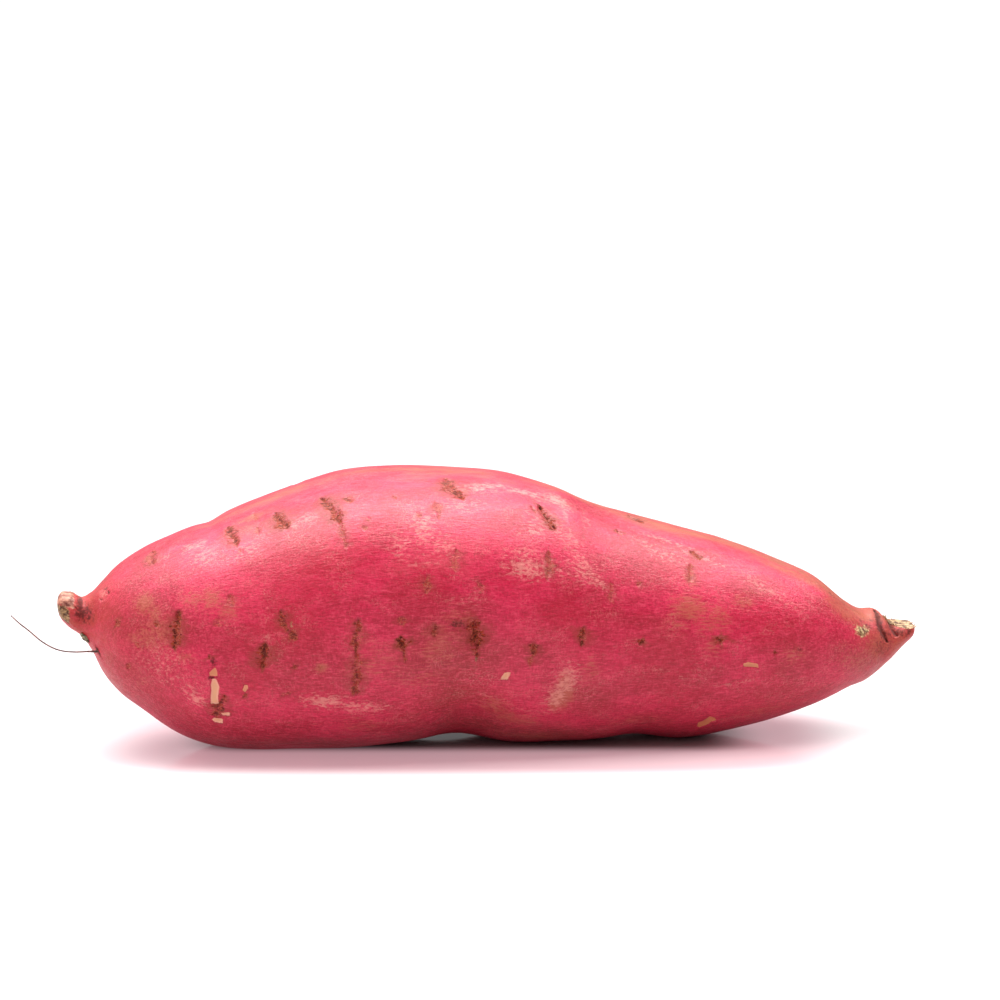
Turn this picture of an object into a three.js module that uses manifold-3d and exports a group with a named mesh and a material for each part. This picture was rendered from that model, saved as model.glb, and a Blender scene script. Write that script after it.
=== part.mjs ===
// A sweet potato lying on its side: one grown root, with its crown knob at -X, its torn tail at +X
// and one thin root hair at the crown. Millimetres, +Z up, resting on z = 0.

import * as THREE from "three";
import { mergeVertices } from "three/addons/utils/BufferGeometryUtils.js";
import Module from "manifold-3d";

const wasm = await Module();
wasm.setup();

// How far the skin reaches at each place along the root: x, underside, top, front and back.
// The front is the side at -Y. A section that falls below zero is pressed flat on the table.
const OUTLINE = [
  [-100.0, 34.4, 34.4, -1.0, -1.0],
  [-99.3, 31.3, 36.8, -4.0, 2.1],
  [-97.2, 29.0, 37.2, -5.4, 3.8],
  [-94.6, 27.1, 35.9, -5.5, 4.2],
  [-92.4, 23.7, 36.8, -6.9, 5.8],
  [-90.0, 18.6, 39.1, -10.3, 9.6],
  [-86.5, 14.0, 42.5, -14.4, 14.5],
  [-81.0, 9.7, 46.0, -18.4, 19.2],
  [-74.0, 4.5, 49.1, -22.6, 23.9],
  [-66.0, 1.1, 52.1, -26.0, 27.3],
  [-57.0, -0.2, 55.9, -28.0, 29.6],
  [-46.0, -0.4, 59.9, -30.0, 31.7],
  [-35.0, -0.4, 63.2, -31.4, 33.0],
  [-22.0, 0.6, 64.1, -32.2, 33.6],
  [-10.0, 1.6, 63.6, -32.0, 33.0],
  [2.0, -0.2, 62.6, -31.3, 31.8],
  [12.5, -0.3, 59.5, -30.2, 30.0],
  [24.0, 0.0, 54.7, -28.9, 28.1],
  [31.5, 0.8, 52.4, -28.1, 26.8],
  [42.0, -0.3, 49.6, -27.0, 25.0],
  [55.0, 1.5, 45.7, -25.4, 22.4],
  [66.0, 4.0, 41.6, -23.2, 19.4],
  [76.0, 7.3, 36.8, -20.2, 15.6],
  [83.0, 10.6, 31.2, -16.6, 11.6],
  [87.2, 12.1, 29.0, -13.8, 8.4],
  [90.5, 14.1, 28.8, -11.3, 5.7],
  [93.0, 16.2, 26.5, -9.8, 4.0],
  [97.0, 20.1, 25.8, -7.6, 1.4],
  [99.4, 22.4, 25.4, -5.6, -1.2],
  [100.0, 23.9, 23.9, -3.4, -3.4],
].map(([x, under, top, front, back]) => ({ x, under, top, front, back }));

const SECTION_POWER = 2.12; // 2 is an ellipse; a little more gives the root its full shoulders
const RING_STEP = 4.2; // the longest step from one ring of points to the next
const SIDES = 40; // points in a ring

// Swells and hollows of the skin. A turn of 0 degrees faces the front, 90 the top, 180 the back and
// -90 the underside. Each one rises or sinks by its height and fades out over its two spans.
const SWELLS = [
  { x: -30, turn: 40, height: 1.2, spanX: 34, spanTurn: 22 },
  { x: -36, turn: -30, height: 1.1, spanX: 18, spanTurn: 20 },
  { x: -8.4, turn: -50, height: -2.0, spanX: 8.5, spanTurn: 26 },
  { x: 18, turn: -30, height: 0.7, spanX: 16, spanTurn: 22 },
  { x: -69, turn: 69, height: 0.8, spanX: 8, spanTurn: 25 },
  { x: -65, turn: 90, height: -0.6, spanX: 2.5, spanTurn: 30 },
  { x: 15, turn: 70, height: 0.6, spanX: 4, spanTurn: 18 },
  { x: -69, turn: -18, height: 0.7, spanX: 5, spanTurn: 16 },
  { x: -48, turn: 165, height: 1.4, spanX: 20, spanTurn: 26 },
  { x: -14, turn: 205, height: -1.8, spanX: 11, spanTurn: 24 },
  { x: 22, turn: 178, height: 1.2, spanX: 17, spanTurn: 24 },
  { x: 58, turn: 150, height: -0.8, spanX: 12, spanTurn: 22 },
];

// The eyes, cracks and nicks cut into the skin: x, turn, length round the root, width, depth and
// lean. A lean of 90 degrees lays the cut along the root.
const CUTS = [
  // the upper rows of the front
  [-78.4, 63, 6.5, 2.0, 0.8, 0],
  [-60.2, 56, 10.5, 2.2, 1.0, 14],
  [-49.9, 58, 7.0, 2.6, 1.1, 16],
  [-38.8, 50, 15.0, 2.4, 0.9, 14],
  [-35.2, 57, 3.2, 1.6, 0.5, 25],
  [-10.9, 62, 8.0, 2.8, 1.0, 14],
  [-15.4, 48, 4.5, 1.5, 0.5, 0],
  [9.6, 51, 6.0, 2.2, 1.2, 25],
  [32.2, 80, 4.0, 2.4, 0.6, 20],
  [26.6, 58, 2.6, 1.6, 0.5, 0],
  [44.3, 54, 3.0, 1.5, 0.5, 40],
  [42.1, 42, 4.6, 1.4, 0.5, 0],
  // the middle rows of the front
  [-12.4, 26, 5.6, 1.5, 0.5, 0],
  [-19.0, 17, 4.2, 1.6, 0.5, 0],
  [-7.1, 16, 2.4, 1.6, 0.4, 0],
  [8.4, 28, 6.4, 1.5, 0.5, 0],
  [22.8, 24, 4.4, 1.4, 0.4, 0],
  [-73.8, 12, 9.0, 2.3, 1.1, -3],
  [-77.9, 15, 2.4, 1.5, 0.5, 0],
  [-86.5, 15, 2.4, 2.0, 0.5, 0],
  [-49.7, 9, 6.6, 1.8, 0.7, 22],
  // the lower rows of the front
  [-55.0, -3, 6.0, 2.6, 1.1, 0],
  [-34.7, -8, 16.5, 2.2, 1.0, 0],
  [-24.6, -7, 5.6, 1.9, 1.0, 8],
  [-24.8, 4, 2.0, 1.5, 0.4, 0],
  [-17.7, -1, 3.2, 1.7, 0.5, 0],
  [-8.1, -5, 8.6, 2.8, 1.5, 0],
  [-10.4, 0, 3.4, 2.4, 0.8, 80],
  [4.6, -9, 5.2, 1.7, 0.7, 0],
  [16.1, 0, 4.8, 1.9, 0.9, -6],
  [29.4, 1, 2.6, 1.8, 0.7, 0],
  [48.1, 6, 3.4, 2.2, 0.9, 0],
  [-48.2, -10, 2.2, 1.8, 0.4, 0],
  [-49.7, -22, 2.2, 2.0, 0.4, 0],
  [61.2, 0, 1.6, 1.4, 0.4, 0],
  // the nicks that bare the flesh
  [-65.7, -15, 9.4, 1.9, 0.5, 0],
  [-64.6, -28, 5.6, 2.2, 0.8, -12],
  [-63.2, -32, 2.4, 1.2, 0.4, 90],
  [-65.0, -38, 3.0, 1.3, 0.4, 90],
  [-1.4, -20, 2.6, 1.9, 0.4, 30],
  [55.5, -7, 4.0, 1.4, 0.4, 90],
  [47.1, -45, 5.2, 1.7, 0.4, 70],
  // the back, whose eyes stand in the same long rows
  [-70.0, 112, 6.0, 2.2, 0.8, -8],
  [-44.5, 104, 8.5, 2.4, 0.9, 10],
  [-18.0, 110, 5.5, 2.0, 0.7, 0],
  [14.5, 106, 6.5, 2.2, 0.8, -14],
  [53.0, 112, 3.6, 1.6, 0.6, 0],
  [-79.0, 150, 4.0, 1.8, 0.6, 0],
  [-57.0, 146, 9.0, 2.4, 1.0, 6],
  [-29.5, 154, 5.0, 2.2, 0.9, -10],
  [-2.0, 148, 7.5, 2.4, 1.0, 0],
  [31.0, 152, 4.6, 1.8, 0.7, 12],
  [66.0, 140, 2.6, 1.5, 0.5, 0],
  [-67.0, 190, 6.5, 2.2, 0.9, 0],
  [-38.0, 186, 12.0, 2.3, 1.0, -5],
  [-11.0, 194, 6.0, 2.6, 1.2, 8],
  [20.0, 188, 5.0, 2.0, 0.8, 0],
  [44.0, 182, 3.4, 1.8, 0.6, -12],
  [-52.0, 228, 5.4, 2.2, 0.8, 10],
  [-22.0, 234, 4.0, 1.8, 0.6, 0],
  [8.0, 226, 6.0, 2.0, 0.8, -6],
  [38.0, 232, 3.4, 1.6, 0.5, 0],
  [-76.0, 262, 3.4, 1.8, 0.5, 0],
  [60.0, 258, 2.8, 1.6, 0.5, 0],
];

const SMALL_LENS = 2.6; // half the length under which a cut is a plainer lens

// The crack that opens the end of the tail: a bowl cut out of its upper side.
const TORN_BOWL = { centre: [97.5, -5.05, 28.9], radii: [5.7, 4.7, 4.7] };

// The dark scab under the neck, half sunk in the skin.
const SCAB = { x: -93.6, turn: -52, radii: [1.1, 1.9, 0.8], lean: 0 };

// The root hair, from inside the skin out to its tip: steps from the place where it leaves.
const HAIR_ROOT = { x: -90.9, turn: -33 };
const HAIR_THICKNESS = 0.64;
const HAIR_SIDES = 5;
const HAIR_STEPS = 16;
const HAIR_ROUTE = [
  [2.2, 0.9, 0.5],
  [0.0, -0.1, 0.0],
  [-2.3, 0.2, 0.1],
  [-5.0, 0.6, -0.1],
  [-8.0, 1.0, 0.1],
  [-10.4, 1.4, 0.9],
  [-12.9, 1.8, 2.5],
  [-14.3, 2.0, 3.8],
  [-16.0, 2.3, 5.3],
  [-17.4, 2.5, 6.3],
  [-19.4, 2.8, 8.3],
];

// The middle of the footprint, hair and all, which becomes the origin.
const FOOTPRINT_MIDDLE = { x: -5.2, y: 0.7 };

const SKIN = new THREE.MeshStandardMaterial({ color: 0xb8324c, roughness: 0.55, metalness: 0 });

// The same section seen from the other side of a pole, which rounds the root off at its tips.
function mirrored({ x, under, top, front, back }) {
  return { x, under: top, top: under, front: back, back: front };
}

function halfHeight({ under, top }) {
  return (top - under) / 2;
}

// The outline with a mirrored section past each pole, and each section's distance along it.
function outlineWithKnots() {
  const sections = [mirrored(OUTLINE[1]), ...OUTLINE, mirrored(OUTLINE.at(-2))];
  let along = 0;
  return sections.map((section, i) => {
    const before = sections[Math.max(i - 1, 0)];
    along += Math.hypot(section.x - before.x, halfHeight(section) - halfHeight(before));
    return { ...section, along };
  });
}

// The slope of one measure at a section, weighed by how near its two neighbours are.
function slopeAt(before, here, after, key) {
  const stepIn = here.along - before.along;
  const stepOut = after.along - here.along;
  const slopeIn = (here[key] - before[key]) / stepIn;
  const slopeOut = (after[key] - here[key]) / stepOut;
  return (slopeIn * stepOut + slopeOut * stepIn) / (stepIn + stepOut);
}

// A section between two of the outline's, on a smooth curve through all of them.
function sectionBetween([before, start, end, after], share) {
  const step = end.along - start.along;
  const section = {};
  for (const key of ["x", "under", "top", "front", "back"]) {
    const leave = slopeAt(before, start, end, key) * step;
    const arrive = slopeAt(start, end, after, key) * step;
    const rise = end[key] - start[key];
    const bend = 3 * rise - 2 * leave - arrive;
    const turnBack = leave + arrive - 2 * rise;
    section[key] = start[key] + share * (leave + share * (bend + share * turnBack));
  }
  return section;
}

// The sections of all the rings from pole to pole.
function ringSections() {
  const sections = outlineWithKnots();
  const rings = [];
  for (let i = 1; i < sections.length - 2; i += 1) {
    const step = sections[i + 1].along - sections[i].along;
    const count = Math.ceil(step / RING_STEP);
    for (let k = 0; k < count; k += 1) {
      rings.push(sectionBetween(sections.slice(i - 1, i + 3), k / count));
    }
  }
  return rings.slice(1);
}

function swellAt(x, turn) {
  let height = 0;
  for (const swell of SWELLS) {
    const away = THREE.MathUtils.euclideanModulo(turn - swell.turn + 180, 360) - 180;
    const fade = ((x - swell.x) / swell.spanX) ** 2 + (away / swell.spanTurn) ** 2;
    height += swell.height * Math.exp(-fade);
  }
  return height;
}

// The point of the skin in a section at a turn round the root.
function skinPoint(section, turn) {
  const ahead = Math.cos(THREE.MathUtils.degToRad(turn));
  const up = Math.sin(THREE.MathUtils.degToRad(turn));
  const reach = (Math.abs(ahead) ** SECTION_POWER + Math.abs(up) ** SECTION_POWER) ** (-1 / SECTION_POWER);
  const halfWidth = (section.back - section.front) / 2;
  const share = Math.min(1, halfWidth / 12);
  const swell = swellAt(section.x, turn) * share;
  const y = (section.back + section.front) / 2 - (halfWidth * reach + swell) * ahead;
  const z = (section.top + section.under) / 2 + (halfHeight(section) * reach + swell) * up;
  return new THREE.Vector3(section.x, y, Math.max(z, 0));
}

// One closed skin: a fan at each pole and a band of triangles between neighbouring rings.
function rootGeometry() {
  const crown = OUTLINE[0];
  const tail = OUTLINE.at(-1);
  const rings = ringSections();
  const points = [new THREE.Vector3(crown.x, crown.front, crown.top)];
  for (const section of rings) {
    for (let k = 0; k < SIDES; k += 1) points.push(skinPoint(section, (360 * k) / SIDES));
  }
  points.push(new THREE.Vector3(tail.x, tail.front, tail.top));
  const at = (ring, side) => 1 + ring * SIDES + (side % SIDES);
  const faces = [];
  for (let k = 0; k < SIDES; k += 1) {
    faces.push(0, at(0, k), at(0, k + 1));
    faces.push(points.length - 1, at(rings.length - 1, k + 1), at(rings.length - 1, k));
    for (let ring = 0; ring < rings.length - 1; ring += 1) {
      faces.push(at(ring, k), at(ring + 1, k), at(ring + 1, k + 1));
      faces.push(at(ring, k), at(ring + 1, k + 1), at(ring, k + 1));
    }
  }
  return new THREE.BufferGeometry().setFromPoints(points).setIndex(faces);
}

function solidFrom(geometry) {
  const bare = geometry.clone();
  bare.deleteAttribute("normal");
  bare.deleteAttribute("uv");
  const merged = mergeVertices(bare, 1e-4);
  return new wasm.Manifold(
    new wasm.Mesh({
      numProp: 3,
      vertProperties: merged.attributes.position.array,
      triVerts: new Uint32Array(merged.index.array),
    }),
  );
}

function meshFrom(solid, name, material) {
  const { vertProperties, triVerts } = solid.getMesh();
  const geometry = new THREE.BufferGeometry();
  geometry.setAttribute("position", new THREE.BufferAttribute(vertProperties, 3));
  geometry.setIndex(new THREE.BufferAttribute(triVerts, 1));
  geometry.computeVertexNormals();
  const mesh = new THREE.Mesh(geometry, material);
  mesh.name = name;
  return mesh;
}

// The section at a place along the root, found by halving between the two sections round it.
function sectionAt(x) {
  const sections = outlineWithKnots();
  const i = sections.findIndex((section, k) => k > 1 && section.x > x);
  const around = sections.slice(i - 2, i + 2);
  let low = 0;
  let high = 1;
  for (let k = 0; k < 24; k += 1) {
    const middle = (low + high) / 2;
    if (sectionBetween(around, middle).x < x) low = middle;
    else high = middle;
  }
  return sectionBetween(around, low);
}

// Where a place on the skin is, and its directions along the root, round it and out of it.
function skinFrame(x, turn) {
  const point = skinPoint(sectionAt(x), turn);
  const along = skinPoint(sectionAt(x + 0.4), turn).sub(skinPoint(sectionAt(x - 0.4), turn)).normalize();
  const around = skinPoint(sectionAt(x), turn + 1).sub(skinPoint(sectionAt(x), turn - 1)).normalize();
  const out = new THREE.Vector3().crossVectors(along, around).normalize();
  const across = new THREE.Vector3().crossVectors(around, out);
  return { point, across, around, out };
}

// A low lens lying on the skin, its long way round the root unless it leans. A small one has fewer
// faces.
function lens({ x, turn, radii, lean }) {
  const { point, across, around, out } = skinFrame(x, turn);
  const ball = Math.max(...radii) < SMALL_LENS
    ? new THREE.OctahedronGeometry(1, 1)
    : new THREE.IcosahedronGeometry(1, 1);
  return ball
    .scale(...radii)
    .rotateZ(THREE.MathUtils.degToRad(lean))
    .applyMatrix4(new THREE.Matrix4().makeBasis(across, around, out).setPosition(point));
}

function cutLens([x, turn, length, width, depth, lean]) {
  return lens({ x, turn, radii: [width / 2, length / 2, depth], lean });
}

function tornBowl() {
  return new THREE.IcosahedronGeometry(1, 2).scale(...TORN_BOWL.radii).translate(...TORN_BOWL.centre);
}

// The root hair, a round tube bent along its route.
function hairGeometry() {
  const { point } = skinFrame(HAIR_ROOT.x, HAIR_ROOT.turn);
  const route = new THREE.CatmullRomCurve3(
    HAIR_ROUTE.map((step) => point.clone().add(new THREE.Vector3(...step))),
  );
  const circle = Array.from({ length: HAIR_SIDES }, (_, k) => {
    const angle = (2 * Math.PI * k) / HAIR_SIDES;
    return new THREE.Vector2(Math.cos(angle), Math.sin(angle)).multiplyScalar(HAIR_THICKNESS / 2);
  });
  return new THREE.ExtrudeGeometry(new THREE.Shape(circle), {
    steps: HAIR_STEPS,
    extrudePath: route,
    bevelEnabled: false,
  });
}

let root = solidFrom(rootGeometry());
for (const cut of CUTS) root = root.subtract(solidFrom(cutLens(cut)));
root = root.subtract(solidFrom(tornBowl()));
root = root.add(solidFrom(lens(SCAB)));
root = root.add(solidFrom(hairGeometry()));

const skin = meshFrom(root, "sweet_potato", SKIN);
skin.geometry.translate(-FOOTPRINT_MIDDLE.x, -FOOTPRINT_MIDDLE.y, 0);

const sweetPotato = new THREE.Group();
sweetPotato.add(skin);

export default sweetPotato;
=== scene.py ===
"""Dresses a sweet potato: a fine skin over the CAD root, a root hair and the fibres of the torn tail.

The CAD model is the frame. The classes below repeat its driving dimensions in millimetres, so the
fine skin keeps the form of the solid that it stands for.
"""

import logging
import math
from dataclasses import dataclass
from enum import Enum
from typing import ClassVar

import bpy
import numpy as np
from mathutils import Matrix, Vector, noise


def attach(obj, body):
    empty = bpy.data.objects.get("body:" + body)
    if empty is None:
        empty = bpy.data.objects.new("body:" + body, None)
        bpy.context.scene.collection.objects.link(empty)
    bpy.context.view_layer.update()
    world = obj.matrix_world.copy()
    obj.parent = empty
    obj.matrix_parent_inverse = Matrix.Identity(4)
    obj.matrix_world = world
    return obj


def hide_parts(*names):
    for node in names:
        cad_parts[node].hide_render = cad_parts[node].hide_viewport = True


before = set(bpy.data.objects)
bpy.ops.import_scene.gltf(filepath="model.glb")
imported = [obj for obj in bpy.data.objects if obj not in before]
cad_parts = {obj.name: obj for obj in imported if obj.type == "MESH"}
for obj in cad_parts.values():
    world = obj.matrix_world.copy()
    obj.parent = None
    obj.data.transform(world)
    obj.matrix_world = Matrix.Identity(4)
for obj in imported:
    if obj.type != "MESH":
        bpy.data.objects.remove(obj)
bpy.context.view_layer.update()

LOG = logging.getLogger("sweet_potato")

Array = np.ndarray
Colour = tuple[float, float, float, float]
Line = tuple[tuple[float, float], ...]  # places as (x in millimetres, turn in degrees)

WHITE: Colour = (1.0, 1.0, 1.0, 1.0)

MM = 0.001  # metres in a millimetre
FOOTPRINT_MIDDLE = (-5.2, 0.7)  # the footprint's middle in the form's own millimetres

# How far the skin reaches at each place along the root: x, underside, top, front and back.
OUTLINE = (
    (-100.0, 34.4, 34.4, -1.0, -1.0),
    (-99.3, 31.3, 36.8, -4.0, 2.1),
    (-97.2, 29.0, 37.2, -5.4, 3.8),
    (-94.6, 27.1, 35.9, -5.5, 4.2),
    (-92.4, 23.7, 36.8, -6.9, 5.8),
    (-90.0, 18.6, 39.1, -10.3, 9.6),
    (-86.5, 14.0, 42.5, -14.4, 14.5),
    (-81.0, 9.7, 46.0, -18.4, 19.2),
    (-74.0, 4.5, 49.1, -22.6, 23.9),
    (-66.0, 1.1, 52.1, -26.0, 27.3),
    (-57.0, -0.2, 55.9, -28.0, 29.6),
    (-46.0, -0.4, 59.9, -30.0, 31.7),
    (-35.0, -0.4, 63.2, -31.4, 33.0),
    (-22.0, 0.6, 64.1, -32.2, 33.6),
    (-10.0, 1.6, 63.6, -32.0, 33.0),
    (2.0, -0.2, 62.6, -31.3, 31.8),
    (12.5, -0.3, 59.5, -30.2, 30.0),
    (24.0, 0.0, 54.7, -28.9, 28.1),
    (31.5, 0.8, 52.4, -28.1, 26.8),
    (42.0, -0.3, 49.6, -27.0, 25.0),
    (55.0, 1.5, 45.7, -25.4, 22.4),
    (66.0, 4.0, 41.6, -23.2, 19.4),
    (76.0, 7.3, 36.8, -20.2, 15.6),
    (83.0, 10.6, 31.2, -16.6, 11.6),
    (87.2, 12.1, 29.0, -13.8, 8.4),
    (90.5, 14.1, 28.8, -11.3, 5.7),
    (93.0, 16.2, 26.5, -9.8, 4.0),
    (97.0, 20.1, 25.8, -7.6, 1.4),
    (99.4, 22.4, 25.4, -5.6, -1.2),
    (100.0, 23.9, 23.9, -3.4, -3.4),
)

# Swells and hollows: x, turn round the root, height, span along x and span in degrees. A turn of
# 0 degrees faces the front, 90 the top, 180 the back and -90 the underside.
SWELLS = (
    (-30, 40, 1.2, 34, 22),
    (-36, -30, 1.1, 18, 20),
    (-8.4, -50, -2.0, 8.5, 26),
    (18, -30, 0.7, 16, 22),
    (-69, 69, 0.8, 8, 25),
    (-65, 90, -0.6, 2.5, 30),
    (15, 70, 0.6, 4, 18),
    (-69, -18, 0.7, 5, 16),
    (-48, 165, 1.4, 20, 26),
    (-14, 205, -1.8, 11, 24),
    (22, 178, 1.2, 17, 24),
    (58, 150, -0.8, 12, 22),
)

THIN_END = 0.2  # how wide a stroke is at its ends, as a share of its width
# What a stroke does to the skin, as shares of its depth, with each one's middle and reach in half
# widths: the rim that it raises, its dish and its slit.
RELIEF = ((0.1, 1.7, 0.5), (-0.25, 0.0, 1.3), (-0.4, 0.0, 0.45))

STRAND_ROUNDNESS = 2  # the curve's bevel resolution
STRAND_STEPS = 6  # how many faces there are from place to place along a strand


class Field(Enum):
    """The numbers that are kept on the skin's mesh for its material, by their attributes' names."""

    SCUFF_AND_HIGHLIGHT = "scuff_and_highlight"
    HAZE = "haze"
    STAIN_AND_SHADE = "stain_and_shade"
    FLAKE = "flake"
    WASH_AND_SHADE = "wash_and_shade"
    RICH = "rich"
    EYE = "eye"
    EYE_TONE = "eye_tone"
    CHIP = "chip"
    CHIP_DRY = "chip_dry"
    END = "end"
    KNOB = "knob"
    PIT = "pit"
    CREST = "crest"
    TORN = "torn"


@dataclass(frozen=True)
class Stroke:
    """An eye's crack or a crease, drawn on the skin as a line of places.

    Each place is (x in millimetres, turn in degrees). The width and depth are in millimetres, and
    the tone runs from 0, a faint trace, to 1, the darkest; a crease's tone is how dark its painted
    shade is.
    """

    path: Line
    width: float
    depth: float
    tone: float


@dataclass(frozen=True)
class Chip:
    """A nick in the skin that shows the flesh, by its corners as (x, turn).

    Dry runs from 0, fresh cream, to 1, dried tan.
    """

    corners: Line
    depth: float = 0.35
    dry: float = 0.0


@dataclass(frozen=True)
class Patch:
    """A soft-edged patch of another colour, with its spans in millimetres and its lean in degrees."""

    x: float
    turn: float
    span_x: float
    span_round: float
    tone: float
    lean: float = 0.0


def made(kind: type, *rows: tuple) -> tuple:
    """Makes one mark or patch of a kind from each row of its values."""
    return tuple(kind(*row) for row in rows)


EYES = made(
    Stroke,
    # the upper rows of the front
    (((-78.3, 72), (-78.9, 65), (-78.3, 57)), 1.9, 0.7, 0.6),
    (((-61.8, 67), (-61, 59), (-59.9, 51)), 2, 0.9, 0.85), (((-59.6, 49), (-58.8, 45)), 0.8, 0.3, 0.45),
    (((-51.2, 64), (-50.1, 56), (-48.8, 51)), 2.3, 1, 0.95), (((-55.9, 72), (-55.5, 64)), 1, 0.3, 0.4),
    (((-55.4, 58), (-54.9, 53)), 1.1, 0.3, 0.4),
    (((-40.8, 64), (-39.4, 57), (-38.5, 52), (-37.3, 45)), 2.1, 0.9, 0.95),
    (((-37.3, 45), (-36.9, 39), (-36.5, 34)), 1, 0.4, 0.5), (((-36, 59), (-34.4, 55)), 1.2, 0.5, 0.7),
    (((-12.3, 71), (-11.7, 62), (-9.4, 55)), 2.5, 0.9, 0.85),
    (((-15.6, 53), (-15.3, 44)), 1.4, 0.4, 0.4), (((8, 58), (9.4, 52), (11.2, 46)), 2, 1.1, 1),
    (((6.3, 57), (6.5, 53)), 0.9, 0.3, 0.6), (((31.4, 83), (32.6, 78), (34, 76)), 2, 0.6, 0.75),
    (((26.3, 60), (26.9, 57)), 1.4, 0.5, 0.8), (((43.2, 57), (45.2, 52)), 1.2, 0.4, 0.8),
    (((42.5, 47), (42, 36)), 1.2, 0.4, 0.5), (((-24.9, 57), (-24.6, 55)), 1, 0.3, 0.6),
    (((-20.2, 47), (-19.6, 45)), 1.1, 0.3, 0.5), (((-31.2, 46), (-30.8, 44)), 0.8, 0.3, 0.6),
    (((-32.4, 42), (-32.2, 40)), 0.8, 0.3, 0.5),
    # the middle rows of the front
    (((-12.3, 31), (-12.6, 22)), 1.4, 0.4, 0.35), (((-19, 21), (-19.1, 14)), 1.5, 0.5, 0.55),
    (((-7.2, 18), (-7, 14)), 1.5, 0.4, 0.35), (((8.8, 34), (8.6, 28), (8.2, 22)), 1.4, 0.5, 0.55),
    (((23, 28), (22.7, 19)), 1.3, 0.4, 0.35), (((-73.2, 23), (-73.7, 12), (-74.2, 2)), 2.1, 1, 0.95),
    (((-77.7, 17), (-78.1, 13)), 1.3, 0.5, 0.65), (((-86.8, 16), (-86.2, 14)), 1.9, 0.5, 0.6),
    (((-62.2, 27), (-61.3, 22)), 1.8, 0.4, 0.4), (((-64.6, 18), (-64.4, 13)), 1.5, 0.3, 0.35),
    (((-51, 15), (-50.5, 11), (-49.8, 6)), 1.6, 0.6, 0.7), (((-49.2, 5), (-47.8, 2)), 1.6, 0.5, 0.75),
    (((29.9, 30), (29, 28)), 0.9, 0.3, 0.4),
    # the lower rows of the front
    (((-54.7, 2), (-54.8, -3), (-55.3, -9)), 2.4, 1, 0.9),
    (((-34.2, 6), (-34.6, 0), (-34.9, -7)), 1.8, 0.8, 0.75),
    (((-34.9, -7), (-34.6, -14), (-34.8, -25)), 2, 0.8, 0.7), (((-24.9, -3), (-24.5, -8)), 2, 1.1, 1),
    (((-24.5, -8), (-23.9, -13)), 1.1, 0.5, 0.6), (((-24.9, 5), (-24.6, 2)), 1.5, 0.4, 0.45),
    (((-17.7, 1), (-17.6, -4)), 1.6, 0.5, 0.7), (((-10.8, -1), (-8.9, 1), (-7.4, 2)), 2, 0.7, 0.7),
    (((-8.4, 2), (-8.3, -4), (-8, -9)), 2.6, 1.5, 1), (((-8, -9), (-7.9, -13)), 1.3, 0.6, 0.7),
    (((4.8, -5), (4.6, -9)), 1.6, 0.6, 0.75), (((4.6, -9), (4.5, -15)), 1.2, 0.4, 0.5),
    (((16.4, 5), (16, 0), (15.7, -4)), 1.7, 0.8, 0.9), (((29.6, 2), (29.2, -1)), 1.6, 0.7, 0.9),
    (((48.1, 9), (48.1, 4)), 2.1, 0.9, 0.95), (((-48.4, -9), (-48, -11)), 1.6, 0.4, 0.5),
    (((-49.9, -21), (-49.4, -23)), 1.8, 0.4, 0.4), (((-42.9, -11), (-42.7, -13)), 1.5, 0.3, 0.3),
    (((-81.9, 1), (-82.1, -4)), 1.6, 0.3, 0.3), (((-84.2, -19), (-84.4, -23)), 1.4, 0.3, 0.35),
    (((-66.8, -1), (-66.5, -3)), 1, 0.3, 0.8),
    (((-63.4, -21), (-64.7, -27), (-65.6, -35)), 2, 0.8, 0.8),
    (((-59.2, -21), (-58.8, -22)), 1.1, 0.3, 0.6), (((61, 0), (61.5, 0)), 1.2, 0.4, 0.7),
    (((77.4, 61), (78, 59)), 1, 0.3, 0.5),
    # the top and the back, whose eyes stand in the same long rows
    (((-70.4, 119), (-70, 112), (-69.4, 104)), 2, 0.8, 0.8),
    (((-44, 112), (-44.5, 104), (-45.4, 96)), 2.2, 0.9, 0.9),
    (((-18, 115), (-18.1, 105)), 1.9, 0.7, 0.7), (((13.6, 112), (14.5, 106), (15.6, 100)), 2, 0.8, 0.8),
    (((53, 116), (53.1, 108)), 1.6, 0.6, 0.6), (((-79, 155), (-79.1, 145)), 1.7, 0.6, 0.6),
    (((-57.6, 155), (-57, 146), (-56.8, 138)), 2.2, 1, 1),
    (((-29, 159), (-29.5, 154), (-30.1, 149)), 2, 0.9, 0.9),
    (((-2, 155), (-1.8, 148), (-2.2, 141)), 2.2, 1, 0.9), (((31.3, 156), (30.6, 148)), 1.7, 0.7, 0.7),
    (((66, 143), (66, 137)), 1.4, 0.5, 0.6), (((-67, 197), (-67.2, 190), (-66.8, 183)), 2, 0.9, 0.9),
    (((-38.4, 197), (-38, 186), (-37.4, 175)), 2.1, 1, 1),
    (((-11.4, 199), (-11, 194), (-10.4, 189)), 2.4, 1.2, 1), (((20, 193), (20.1, 183)), 1.8, 0.8, 0.8),
    (((43.8, 185), (44.3, 179)), 1.7, 0.6, 0.7), (((-51.6, 233), (-52.4, 223)), 2, 0.8, 0.8),
    (((-22, 238), (-22, 230)), 1.7, 0.6, 0.6), (((7.6, 232), (8.3, 220)), 1.8, 0.8, 0.8),
    (((38, 235), (38.1, 229)), 1.5, 0.5, 0.6), (((-76, 266), (-76.1, 258)), 1.7, 0.5, 0.6),
    (((60, 262), (60, 254)), 1.5, 0.5, 0.6),
)

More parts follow.
